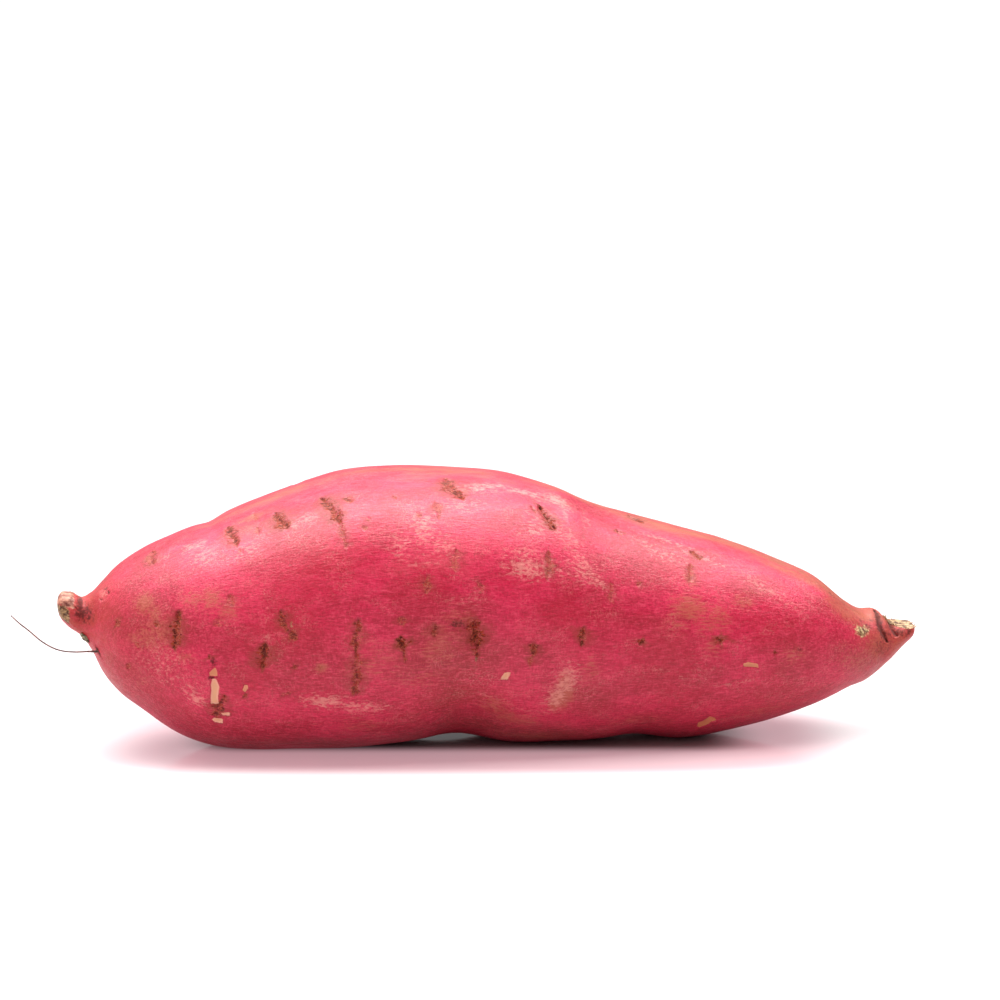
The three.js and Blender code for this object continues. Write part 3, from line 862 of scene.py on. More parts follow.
    def _ends(self, shader: Shader, colour: object, grain: bpy.types.NodeTree) -> object:
        """Adds the warm dull ends, the woody knob, its pit, the torn tail, the flakes, and the stains with
        the painted shade of the creases.

        Args:
            shader: the material's nodes.
            colour: the colour below.
            grain: the node group of dry woody grain.

        Returns:
            The new colour.
        """
        patchy = shader.noise((0.6, 1, 1), 0.4, 4, 0.6)
        warm = shader.scaled(shader.attribute(Field.END), shader.step(patchy, 0.7, 0.3, (0.5, 1.0)))
        colour = shader.mix(warm, colour, self.end)
        for mask, dark, pale, grains_in_mm in (
            (Field.KNOB, self.knob_dark, self.knob_pale, 0.9),
            (Field.PIT, self.pit_dark, self.pit_pale, 1.5),
            (Field.TORN, self.torn_dark, self.torn_pale, 1.3),
            (Field.FLAKE, self.flake_dark, self.flake_pale, 1.6),
        ):
            wood = shader.wood(grain, dark, pale, grains_in_mm)
            ragged = shader.noise((1, 1, 1), 1.4, 4, 0.7)
            share = shader.flecked(shader.attribute(mask), ragged, 0.26)
            colour = shader.mix(share, colour, wood.outputs["Color"])
        rough_edge = shader.noise((1, 1, 1), 1.6, 3, 0.6)
        # stains, and the painted shade in the creases
        stain_and_shade = shader.flecked(shader.attribute(Field.STAIN_AND_SHADE), rough_edge, 0.4, 0.66)
        return shader.mix(shader.scaled(stain_and_shade, 0.86), colour, self.stain_and_shade)

    def _eyes(self, shader: Shader, colour: object, ribs: object, crumbs: object) -> tuple[object, object]:
        """Adds the brown eyes: a stained halo, short brown ribs with tan flecks and a dark core, which is
        dark scar tissue with painted shade in the slit.

        Args:
            shader: the material's nodes.
            colour: the colour below.
            ribs: the noise of the fine ribs along the root.
            crumbs: the noise of the fine crumbs.

        Returns:
            The new colour and the mask of the eyes' ribs.
        """
        eye = shader.attribute(Field.EYE)
        tone = shader.attribute(Field.EYE_TONE)
        blotch = shader.noise((0.8, 1, 1), 1.0, 4, 0.65)
        uneven = shader.scaled(shader.math("SUBTRACT", ribs, 0.5), 3.4)
        uneven = shader.math("ADD", uneven, shader.step(blotch, 0.3, 0.7, (-1.0, 1.0)))
        loose = shader.math("ADD", eye, uneven)
        halo = shader.scaled(shader.step(loose, 4.6, 0.9), shader.scaled(tone, 0.62))
        colour = shader.mix(halo, colour, self.eye_halo)
        body = shader.scaled(shader.step(loose, 1.25, 0.45), tone)
        fine = shader.noise((0.5, 1, 1), 2.2, 3, 0.6, 0.6)
        bark = shader.mix(shader.step(fine, 0.42, 0.56), self.eye_rib, self.eye_rust)
        colour = shader.mix(shader.scaled(body, 0.88), colour, bark)
        ridge = shader.math("ABSOLUTE", shader.math("SUBTRACT", fine, 0.5))
        fleck = shader.scaled(shader.step(ridge, 0.03, 0.008), shader.step(eye, 1.5, 0.6))
        colour = shader.mix(shader.scaled(fleck, 0.45), colour, self.eye_pale)
        # the dark core in the slit: dark scar tissue and painted shade
        core = shader.scaled(shader.step(crumbs, 0.66, 0.46), shader.step(loose, 0.7, -0.3))
        core = shader.scaled(core, shader.step(tone, 0.4, 1.0))
        return shader.mix(shader.scaled(core, 0.84), colour, self.eye_dark_and_shade), body

    def _chips(self, shader: Shader, colour: object, crumbs: object) -> tuple[object, object]:
        """Adds the cream flesh that shows in the nicks, with a tan core.

        Args:
            shader: the material's nodes.
            colour: the colour below.
            crumbs: the noise of the fine crumbs.

        Returns:
            The new colour and the mask of the bare flesh.
        """
        inside = shader.attribute(Field.CHIP)
        wobble = shader.scaled(shader.math("SUBTRACT", crumbs, 0.5), 0.45)
        bare = shader.step(shader.math("ADD", inside, wobble), 0.08, -0.1)
        flesh = shader.mix(shader.step(inside, -0.2, -0.5, (0, 0.8)), self.flesh, self.flesh_core)
        flesh = shader.mix(shader.attribute(Field.CHIP_DRY), flesh, self.flesh_dry)
        return shader.mix(bare, colour, flesh), bare

    def _surface(self, shader: Shader, surface: bpy.types.Node, layers: tuple[object, ...]) -> None:
        """Sets the skin's roughness and its fine relief.

        Args:
            shader: the material's nodes.
            surface: the surface shader.
            layers: the ribs, the crumbs, the eyes and the bare flesh.
        """
        ribs, crumbs, eyes, bare = layers
        low, high = self.roughness - 0.06, self.roughness + 0.1
        rough = shader.step(shader.noise((0.25, 1, 1), 0.7, 3), 0.3, 0.7, (low, high))
        worn = ((Field.SCUFF_AND_HIGHLIGHT, 0.12), (Field.STAIN_AND_SHADE, 0.55), (Field.TORN, 0.3))
        dry = [(shader.attribute(field), share) for field, share in worn]
        for mask, share in (*dry, (eyes, 0.5), (bare, 0.2)):
            rough = shader.math("ADD", rough, shader.scaled(mask, share), clamp=True)
        shader.feed(surface.inputs["Roughness"], rough)
        height = shader.math("ADD", ribs, shader.scaled(crumbs, 0.6))
        height = shader.math("SUBTRACT", height, eyes)
        height = shader.math("SUBTRACT", height, shader.scaled(bare, 0.6))
        shader.bump(surface, height, *self.relief)


def coordinates(parts: bpy.types.bpy_prop_collection, name: str) -> Array:
    """Reads three coordinates of each of a mesh's parts.

    Args:
        parts: the mesh's vertices or its faces.
        name: what is read.

    Returns:
        The coordinates, one part a row.
    """
    values = np.empty(len(parts) * 3)
    parts.foreach_get(name, values)
    return values.reshape(-1, 3)


def globe(name: str, segments: int, rings: int) -> bpy.types.Object:
    """Adds a ball with a radius of one, for a piece to be shaped from.

    Args:
        name: the piece's name.
        segments: how many faces go round it.
        rings: how many go from pole to pole.

    Returns:
        The ball.
    """
    bpy.ops.object.select_all(action="DESELECT")
    bpy.ops.mesh.primitive_uv_sphere_add(segments=segments, ring_count=rings, radius=1.0)
    ball = bpy.context.active_object
    ball.name = name
    return ball


@dataclass
class Skin:
    """The fine skin, which stands for the CAD root: a globe settled onto the form."""

    segments: int = 168
    rings: int = 258
    margins: tuple[float, float] = (1.4, 0.4)  # how far round a mark the faces are split once and twice
    end_density: float = 1.5  # how much closer the rings stand at the two ends
    end_reach: float = 18.0
    map_steps: int = 2000
    wander: float = 0.9  # how far the eyes' lines stray
    wander_scale: float = 0.55
    least_half_width: float = 4.0  # the half width that the strays take at the very ends
    far: float = 4.0  # the distance that stands for no mark near
    crease_shade_reach: float = 1.1  # how far past its rim a crease's painted shade reaches
    ends: tuple[tuple[float, float], ...] = ((-96.0, 9.0), (99.0, 11.0))  # each warm end's x and reach
    end_tone: float = 0.85
    # Each pair is where a mask starts and where it is full, in millimetres of x or degrees of turn.
    knob_along: tuple[float, float] = (-95.6, -96.5)
    knob_round: tuple[float, float] = (4.0, 22.0)
    pit_along: tuple[float, float] = (-96.8, -97.6)
    pit_front: tuple[float, float] = (22.0, 4.0)
    pit_under: tuple[float, float] = (-56.0, -40.0)
    crest_edge: float = 62.0
    crest_drop: float = 24.0  # how much lower the crest's edge is at the tail
    crest_dropped: tuple[float, float] = (62.0, 84.0)
    crest_soft: float = 22.0
    crest_back: tuple[float, float] = (128.0, 106.0)
    crest_start: tuple[float, float] = (-92.0, -62.0)
    crest_grows: tuple[float, float] = (5.0, 40.0)
    crest_tones: tuple[float, float] = (0.6, 0.5)  # its tone, and what is added towards the tail
    chip_edge: float = 0.3  # how wide a nick's slope is
    broad: tuple[float, ...] = (0.28, 0.05, 0.09)  # soft swells: height, grains in a mm along and round
    fine: tuple[float, ...] = (0.06, 0.16, 0.42)  # small ones
    fine_offset: float = 40.0
    collar: tuple[float, ...] = (-91.0, 50.0, 0.7, 1.6, 20.0)  # the bump at the neck, as a swell
    lumpy_along: tuple[float, float] = (-94.2, -96.2)
    lumps: tuple[tuple[float, float], ...] = ((0.3, 0.55), (0.16, 1.3))  # the knob's: height and grains
    bowl_centre: ClassVar[Array] = np.array([97.5, -5.05, 28.9])
    bowl_radii: ClassVar[Array] = np.array([5.7, 4.7, 4.7])
    bowl_start: float = 88.0  # the bowl is cut only past this x
    bowl_mark: tuple[float, float] = (1.03, 0.98)  # the shares of the radii between which it turns woody
    rim_reach: float = 0.03
    rim: Array | None = None  # the torn rim's places, once the skin is built

    def build(self, material: bpy.types.Material) -> bpy.types.Object:
        """Builds and dresses the skin.

        Args:
            material: the skin's material.

        Returns:
            The finished piece.
        """
        piece = globe("skin", self.segments, self.rings)
        for margin in self.margins:
            self._refine(piece, margin)
        along, turn = self._mapped(coordinates(piece.data.vertices, "co"))
        x = FORM.sections(along)[:, 0]
        fields = self._fields(x, turn, self._wander(along, turn))
        points = self._relieved(along, turn, x, fields)
        points[:, 2] = np.maximum(points[:, 2], 0.0)
        piece.data.vertices.foreach_set("co", shifted(points).ravel())
        for field, values in fields.items():
            layer = piece.data.attributes.new(field.value, "FLOAT", "POINT")
            layer.data.foreach_set("value", values.astype(np.float32))
        piece.data.update()
        bpy.ops.object.mode_set(mode="EDIT")
        bpy.ops.mesh.select_all(action="SELECT")
        bpy.ops.mesh.normals_make_consistent(inside=False)
        bpy.ops.object.mode_set(mode="OBJECT")
        bpy.ops.object.shade_smooth()
        piece.data.materials.clear()
        piece.data.materials.append(material)
        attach(piece, "root")
        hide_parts("sweet_potato")
        return piece

    def _mapped(self, directions: Array) -> tuple[Array, Array]:
        """Turns directions from the globe's middle into places on the root.

        Args:
            directions: one direction a row. The globe's axis lies along Z, its foot at the crown.

        Returns:
            The distances along the outline and the turns round the root.
        """
        unit = directions / np.linalg.norm(directions, axis=1)[:, None]
        share = np.arccos(np.clip(-unit[:, 2], -1, 1)) / math.pi
        steps = np.linspace(FORM.start, FORM.end, self.map_steps)
        from_end = np.minimum(steps - FORM.start, FORM.end - steps)
        density = 1 + self.end_density * np.exp(-((from_end / self.end_reach) ** 2))
        shares = np.concatenate([[0.0], np.cumsum((density[1:] + density[:-1]) / 2)])
        along = np.interp(share, shares / shares[-1], steps)
        turn = np.degrees(np.arctan2(unit[:, 1], unit[:, 0]))
        return along, turn

    def _refine(self, piece: bpy.types.Object, margin: float) -> None:
        """Splits the faces near the marks into four.

        Args:
            piece: the globe.
            margin: how far round each mark the faces are split, in millimetres.
        """
        mesh = piece.data
        along, turn = self._mapped(coordinates(mesh.polygons, "center"))
        x = FORM.sections(along)[:, 0]
        near = np.zeros(len(x), dtype=bool)
        for stroke in (*EYES, *CREASES):
            distance, _ = stroke_distance(stroke, x, turn)
            near |= distance < stroke.width / 2 + margin
        for chip in CHIPS:
            near |= chip_distance(chip, x, turn) < margin
        mesh.vertices.foreach_set("select", np.zeros(len(mesh.vertices), dtype=bool))
        mesh.edges.foreach_set("select", np.zeros(len(mesh.edges), dtype=bool))
        mesh.polygons.foreach_set("select", near)
        bpy.context.tool_settings.mesh_select_mode = (False, False, True)
        bpy.ops.object.mode_set(mode="EDIT")
        bpy.ops.mesh.subdivide(number_cuts=1, ngon=False)
        bpy.ops.object.mode_set(mode="OBJECT")

    def _wander(self, along: Array, turn: Array) -> tuple[Array, Array]:
        """Gives how far the eyes' lines stray from their paths.

        Args:
            along: distances along the outline.
            turn: turns round the root.

        Returns:
            The strays in millimetres of x and in degrees.
        """
        places = FORM.points(along, turn)
        stray = np.array([noise.noise_vector(Vector(place) * self.wander_scale)[:2] for place in places])
        sections = FORM.sections(along)
        half_width = np.maximum((sections[:, 4] - sections[:, 3]) / 2, self.least_half_width)
        return self.wander * stray[:, 0], self.wander * np.degrees(stray[:, 1] / half_width)

    def _fields(self, x: Array, turn: Array, stray: tuple[Array, Array]) -> dict[Field, Array]:
        """Works out the numbers that the skin's relief and colours read.

        Args:
            x: each vertex's place along the root.
            turn: each vertex's turn round it.
            stray: how far the eyes' lines stray there.

        Returns:
            The values by the number that they are.
        """
        fields = {field: np.zeros(len(x)) for field in (Field.EYE_TONE, Field.CHIP_DRY)}
        fields.update({field: np.full(len(x), self.far) for field in (Field.EYE, Field.CHIP)})
        for field, patches in PATCHES.items():
            fields[field] = np.max([patch_weight(patch, x, turn) for patch in patches], axis=0)
        for stroke in EYES:
            share = stroke_share(stroke, x + stray[0], turn + stray[1])
            nearer = share < fields[Field.EYE]
            fields[Field.EYE][nearer] = share[nearer]
            fields[Field.EYE_TONE][nearer] = stroke.tone
        # each crease darkens the skin round it with painted shade, kept with the stains
        for stroke in CREASES:
            shade = stroke.tone * np.exp(-((stroke_share(stroke, x, turn) / self.crease_shade_reach) ** 2))
            fields[Field.STAIN_AND_SHADE] = np.maximum(fields[Field.STAIN_AND_SHADE], shade)
        for chip in CHIPS:
            distance = chip_distance(chip, x, turn)
            nearer = distance < fields[Field.CHIP]
            fields[Field.CHIP][nearer] = distance[nearer]
            fields[Field.CHIP_DRY][nearer] = chip.dry
        warmth = [np.exp(-(((x - middle) / reach) ** 2)) for middle, reach in self.ends]
        fields[Field.END] = self.end_tone * np.max(warmth, axis=0)
        fields[Field.KNOB] = ramp(x, *self.knob_along) * ramp(turn, *self.knob_round)
        low_front = ramp(turn, *self.pit_front) * ramp(turn, *self.pit_under)
        fields[Field.PIT] = ramp(x, *self.pit_along) * low_front
        fields[Field.CREST] = self._crest(x, turn)
        return fields

    def _crest(self, x: Array, turn: Array) -> Array:
        """Gives how tan the root's crest is, which gets wider and stronger towards the tail.

        Args:
            x: places along the root.
            turn: turns round it.

        Returns:
            Shares, from 0 to a little over 1.
        """
        edge = self.crest_edge - self.crest_drop * ramp(x, *self.crest_dropped)
        upward = ramp(turn, edge, edge + self.crest_soft) * ramp(turn, *self.crest_back)
        tone, more = self.crest_tones
        return upward * ramp(x, *self.crest_start) * (tone + more * ramp(x, *self.crest_grows))

    def _relieved(self, along: Array, turn: Array, x: Array, fields: dict[Field, Array]) -> Array:
        """Lifts and sinks the skin by its relief.

        Args:
            along: distances along the outline.
            turn: turns round the root.
            x: places along the root.
            fields: the attributes, of which torn is filled in here.

        Returns:
            The skin's points in the form's millimetres.
        """
        smooth = FORM.points(along, turn)
        lift = self._undulation(smooth)
        for stroke in (*EYES, *CREASES):
            lift += stroke_relief(stroke, x, turn)
        for chip in CHIPS:
            lift -= chip.depth * np.clip(0.5 - chip_distance(chip, x, turn) / self.chip_edge, 0, 1)
        lift += swelling(self.collar, x, turn)
        lift += self._knob_lumps(smooth, x)
        return self._torn(FORM.points(along, turn, lift), fields)

    def _undulation(self, smooth: Array) -> Array:
        """Gives the skin's soft unevenness, stretched along the root.

        Args:
            smooth: places on the smooth skin.

        Returns:
            Heights in millimetres.
        """
        lift = np.zeros(len(smooth))
        for (height, along, across), offset in ((self.broad, 0.0), (self.fine, self.fine_offset)):
            places = smooth * (along, across, across) + (offset, 0.0, 0.0)
            lift += height * np.array([noise.noise(place) for place in places])
        return lift

    def _knob_lumps(self, smooth: Array, x: Array) -> Array:
        """Gives the lumps of the pitted woody knob.

        Args:
            smooth: places on the smooth skin.
            x: the same places along the root.

        Returns:
            Heights in millimetres.
        """
        knob = ramp(x, *self.lumpy_along)
        lumps = np.zeros(len(x))
        for i in np.nonzero(knob > 0)[0]:
            lumps[i] = sum(height * noise.noise(smooth[i] * grains) for height, grains in self.lumps)
        return knob * lumps

    def _torn(self, points: Array, fields: dict[Field, Array]) -> Array:
        """Cuts the torn bowl out of the tail's upper side, and keeps its rim.

        Args:
            points: the skin's points.
            fields: the attributes, of which torn is filled in here.

        Returns:
            The points with the bowl.
        """
        away = (points - self.bowl_centre) / self.bowl_radii
        size = np.linalg.norm(away, axis=1)
        at_tail = points[:, 0] > self.bowl_start
        onto = self.bowl_centre + away / np.maximum(size, 1e-6)[:, None] * self.bowl_radii
        fields[Field.TORN] = ramp(size, *self.bowl_mark) * at_tail
        self.rim = points[(np.abs(size - 1.0) < self.rim_reach) & at_tail]
        return np.where(((size < 1) & at_tail)[:, None], onto, points)


def local_plane(middle: tuple[float, float], x: Array, turn: Array) -> tuple[Array, Array]:
    """Gives places near a mark in the flat millimetres of the skin there.

    Args:
        middle: the mark's middle as (x, turn).
        x: places along the root.
        turn: turns round it.

    Returns:
        How far each place is from the middle along the root and round it.
    """
    across = (x - middle[0]) * FORM.slope_length(*middle)
    around = ((turn - middle[1] + 180) % 360 - 180) * FORM.degree_length(*middle)
    return across, around


def nearest_on(start: Array, end: Array, across: Array, around: Array) -> tuple[Array, Array]:
    """Gives how far places are from a straight line.

    Args:
        start: the line's start.
        end: the line's end.
        across: the places' first coordinates.
        around: the places' second coordinates.

    Returns:
        The distances, and how far along the line the nearest point is, from 0 to 1.
    """
    step = end - start
    share = ((across - start[0]) * step[0] + (around - start[1]) * step[1]) / max(step @ step, 1e-9)
    share = np.clip(share, 0, 1)
    return np.hypot(across - start[0] - share * step[0], around - start[1] - share * step[1]), share


def stroke_distance(stroke: Stroke, x: Array, turn: Array) -> tuple[Array, Array]:
    """Gives how far places are from a stroke's line.

    Args:
        stroke: the stroke.
        x: places along the root.
        turn: turns round it.

    Returns:
        The distances in millimetres and how far along the stroke the nearest point is, from 0 to 1.
    """
    middle = stroke.path[len(stroke.path) // 2]
    across, around = local_plane(middle, x, turn)
    line = np.stack(local_plane(middle, *np.array(stroke.path, dtype=float).T), axis=1)
    lengths = np.linalg.norm(np.diff(line, axis=0), axis=1)
    best = np.full(len(x), np.inf)
    share = np.zeros(len(x))
    passed = 0.0
    for start, end, length in zip(line[:-1], line[1:], lengths):
        distance, on_line = nearest_on(start, end, across, around)
        nearer = distance < best
        best = np.where(nearer, distance, best)
        share = np.where(nearer, (passed + on_line * length) / lengths.sum(), share)
        passed += length
    return best, share


def chip_distance(chip: Chip, x: Array, turn: Array) -> Array:
    """Gives how far places are from a nick's edge.

    Args:
        chip: the nick.
        x: places along the root.
        turn: turns round it.

    Returns:
        Distances in millimetres, below zero inside it.
    """
    corners = np.array(chip.corners, dtype=float)
    middle = tuple(corners.mean(axis=0))
    across, around = local_plane(middle, x, turn)
    line = np.stack(local_plane(middle, *corners.T), axis=1)
    best = np.full(len(x), np.inf)
    inside = np.zeros(len(x), dtype=bool)
    for start, end in zip(line, np.roll(line, -1, axis=0)):
        best = np.minimum(best, nearest_on(start, end, across, around)[0])
        rise = end[1] - start[1]
        if rise:
            crossing = start[0] + (around - start[1]) / rise * (end[0] - start[0])
            inside ^= ((start[1] > around) != (end[1] > around)) & (across < crossing)
    return np.where(inside, -best, best)


def stroke_share(stroke: Stroke, x: Array, turn: Array) -> Array:
    """Gives the distance from a stroke as a share of its half width there.

    Args:
        stroke: the stroke.
        x: places along the root.
        turn: turns round it.

    Returns:
        Shares: 1 at its rim.
    """
    distance, share = stroke_distance(stroke, x, turn)
    taper = THIN_END + (1 - THIN_END) * np.sqrt(np.sin(np.pi * share))
    return distance / (stroke.width / 2 * taper)


def stroke_relief(stroke: Stroke, x: Array, turn: Array) -> Array:
    """Gives how far a stroke sinks the skin, with the low rim that it raises.

    Args:
        stroke: the stroke.
        x: places along the root.
        turn: turns round it.

    Returns:
        Heights in millimetres.
    """
    share = stroke_share(stroke, x, turn)
    return stroke.depth * sum(part * np.exp(-(((share - at) / reach) ** 2)) for part, at, reach in RELIEF)


def patch_weight(patch: Patch, x: Array, turn: Array) -> Array:
    """Gives how strong a patch is at some places.

    Args:
        patch: the patch.
        x: places along the root.
        turn: turns round it.

    Returns:
        Weights from 0 to the patch's tone.
    """
    across = x - patch.x
    around = ((turn - patch.turn + 180) % 360 - 180) * FORM.degree_length(patch.x, patch.turn)
    lean = math.radians(patch.lean)
    first = across * math.cos(lean) + around * math.sin(lean)
    second = around * math.cos(lean) - across * math.sin(lean)
    return patch.tone * np.exp(-((first / patch.span_x) ** 2) - (second / patch.span_round) ** 2)


@dataclass
class RootHair:
    """The one thin root hair at the crown, with its route in steps from its root in the skin."""

    root_x: float = -90.9
    root_turn: float = -33.0
    thickness: float = 0.34
    root_swell: tuple[float, ...] = (2.6, 2.0, 1.2)  # how much thicker its first places are
    tip: float = 0.7
    route: tuple[tuple[float, float, float], ...] = (
        (2.2, 0.9, 0.5),
        (0.0, -0.1, 0.0),
        (-2.3, 0.2, 0.1),
        (-5.0, 0.6, -0.1),
        (-8.0, 1.0, 0.1),
        (-10.4, 1.4, 0.9),
        (-12.9, 1.8, 2.5),
        (-14.3, 2.0, 3.8),
        (-16.0, 2.3, 5.3),
        (-17.4, 2.5, 6.3),
        (-19.4, 2.8, 8.3),
    )

    def build(self, material: bpy.types.Material) -> bpy.types.Object:
        """Builds the hair along its route, thicker at its root.

        Args:
            material: the hair's material.

        Returns:
            The finished piece.
        """
        start = FORM.place(self.root_x, self.root_turn)
        points = shifted(np.array([start + np.array(step) for step in self.route]))
        swell = [*self.root_swell, *[1.0] * (len(points) - len(self.root_swell) - 1), self.tip]
        piece = strands("root_hair", [list(zip(points, swell))], self.thickness / 2)
        piece.data.materials.append(material)
        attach(piece, "root")
        return piece


def strands(name: str, lines: list[list[tuple[Array, float]]], radius: float) -> bpy.types.Object:
    """Makes thin round strands as one mesh.

    Args:
        name: the piece's name.
        lines: for each strand its points in metres, each with its share of the radius.
        radius: the full radius in millimetres.

    Returns:
        The mesh, with no material yet.
    """
    curve = bpy.data.curves.new(name, "CURVE")
    curve.dimensions = "3D"
    curve.bevel_depth = radius * MM
    curve.bevel_resolution = STRAND_ROUNDNESS
    curve.resolution_u = STRAND_STEPS
    curve.use_fill_caps = True
    for line in lines:
        spline = curve.splines.new("NURBS")
        spline.points.add(len(line) - 1)
        spline.use_endpoint_u = True
        spline.order_u = 3
        for point, (place, share) in zip(spline.points, line):
            point.co = (*place, 1.0)
            point.radius = share
    piece = bpy.data.objects.new(name, curve)
    bpy.context.scene.collection.objects.link(piece)
    bpy.ops.object.select_all(action="DESELECT")
    piece.select_set(True)
    bpy.context.view_layer.objects.active = piece
    bpy.ops.object.convert(target="MESH")
    bpy.ops.object.shade_smooth()
    return bpy.context.active_object


@dataclass(frozen=True)
class WoodFinish:
    """Dry brown tissue, for the root hair, the crown's scab and the torn fibres."""

    dark: Colour
    pale: Colour
    grains_in_mm: float = 1.4
    roughness: tuple[float, float] = (0.7, 0.55)  # in the dark grains and in the pale ones
    relief: tuple[float, float] = (0.4, 0.0001)  # the bump's strength and its distance in metres

    def material(self, name: str, grain: bpy.types.NodeTree) -> bpy.types.Material:
        """Builds the material from the woody grain.

        Args:
            name: the material's name.
            grain: the node group of dry woody grain.

        Returns:
            The material.
        """
        material, shader, surface = started(name)
        wood = shader.wood(grain, self.dark, self.pale, self.grains_in_mm)
        shader.feed(surface.inputs["Base Color"], wood.outputs["Color"])
        height = wood.outputs["Height"]
        shader.feed(surface.inputs["Roughness"], shader.step(height, 0, 1, self.roughness))
        shader.bump(surface, height, *self.relief)
        return material


HAIR_FINISH = WoodFinish(srgb(70, 38, 34), srgb(126, 84, 74))
SCAB_FINISH = WoodFinish(srgb(64, 52, 36), srgb(158, 152, 122), 2.0)
FIBRE_FINISH = WoodFinish(srgb(104, 66, 42), srgb(206, 174, 132), 1.8)


@dataclass
class CrownScab:
    """The small grey flake of dead skin that hangs under the crown."""

    segments: int = 40
    rings: int = 24
    x: float = -93.7
    turn: float = -50.0
    radii: tuple[float, float, float] = (1.5, 1.1, 0.62)
    slope: float = 44.0  # how steeply it hangs, in degrees
    lift: float = 0.15  # how far its middle stands off the skin
    crumbling: tuple[tuple[float, float], ...] = ((0.28, 2.4), (0.1, 7.0))  # depth and fineness

    def build(self, material: bpy.types.Material) -> bpy.types.Object:
        """Builds the flake as a squashed, crumbled ball.

        Args:
            material: the flake's material.

        Returns:
            The finished piece.
        """
        piece = globe("crown_scab", self.segments, self.rings)
        middle = FORM.place(self.x, self.turn, self.lift)
        slope = math.radians(self.slope)
        for vertex in piece.data.vertices:
            crumble = 1 + sum(depth * noise.noise(vertex.co * fine) for depth, fine in self.crumbling)
            along, across, out = (c * r * crumble for c, r in zip(vertex.co, self.radii))
            step = (
                along * math.cos(slope) - out * math.sin(slope),
                across,
                -along * math.sin(slope) - out * math.cos(slope),
            )
            vertex.co = shifted(middle + np.array(step))
        piece.data.update()
        bpy.ops.object.shade_smooth()
        piece.data.materials.append(material)
        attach(piece, "root")
        return piece


@dataclass
class TornFibres:
    """The short ragged fibres that stand up round the torn tail's bowl."""

    count: int = 64
    thickness: float = 0.26
    lengths: tuple[float, float] = (0.3, 0.8)
    outward: float = 0.5  # how much the fibres lean away from the bowl's middle
    lean: ClassVar[Array] = np.array([0.55, 0.0, 0.5])  # how they all lean
    spread: float = 0.22
    curl: float = 0.16
    seed: int = 11
    places: tuple[float, ...] = (-0.5, 0.2, 0.6, 1.0)  # shares of the length, from inside the root
    swell: tuple[float, ...] = (1.0, 0.95, 0.75, 0.25)  # the thickness at those places

    def build(self, rim: Array, material: bpy.types.Material) -> bpy.types.Object:
        """Builds the fibres.

        Args:
            rim: places on the bowl's rim, in the form's millimetres.
            material: the fibres' material.

        Returns:
            The finished piece.
        """
        chance = np.random.default_rng(self.seed)
        lines = []
        for place in rim[chance.integers(0, len(rim), self.count)]:
            away = place - Skin.bowl_centre
            away[2] = 0.0
            away /= max(np.linalg.norm(away), 1e-6)
            lean = self.outward * away + self.lean + chance.normal(0, self.spread, 3)
            length = chance.uniform(*self.lengths)
            curl = chance.normal(0, self.curl, 3)
            steps = [place + lean * length * s + curl * length * s * s for s in self.places]
            lines.append(list(zip(shifted(np.array(steps)), self.swell)))
        piece = strands("torn_fibres", lines, self.thickness / 2)
        piece.data.materials.append(material)
        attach(piece, "root")
        return piece


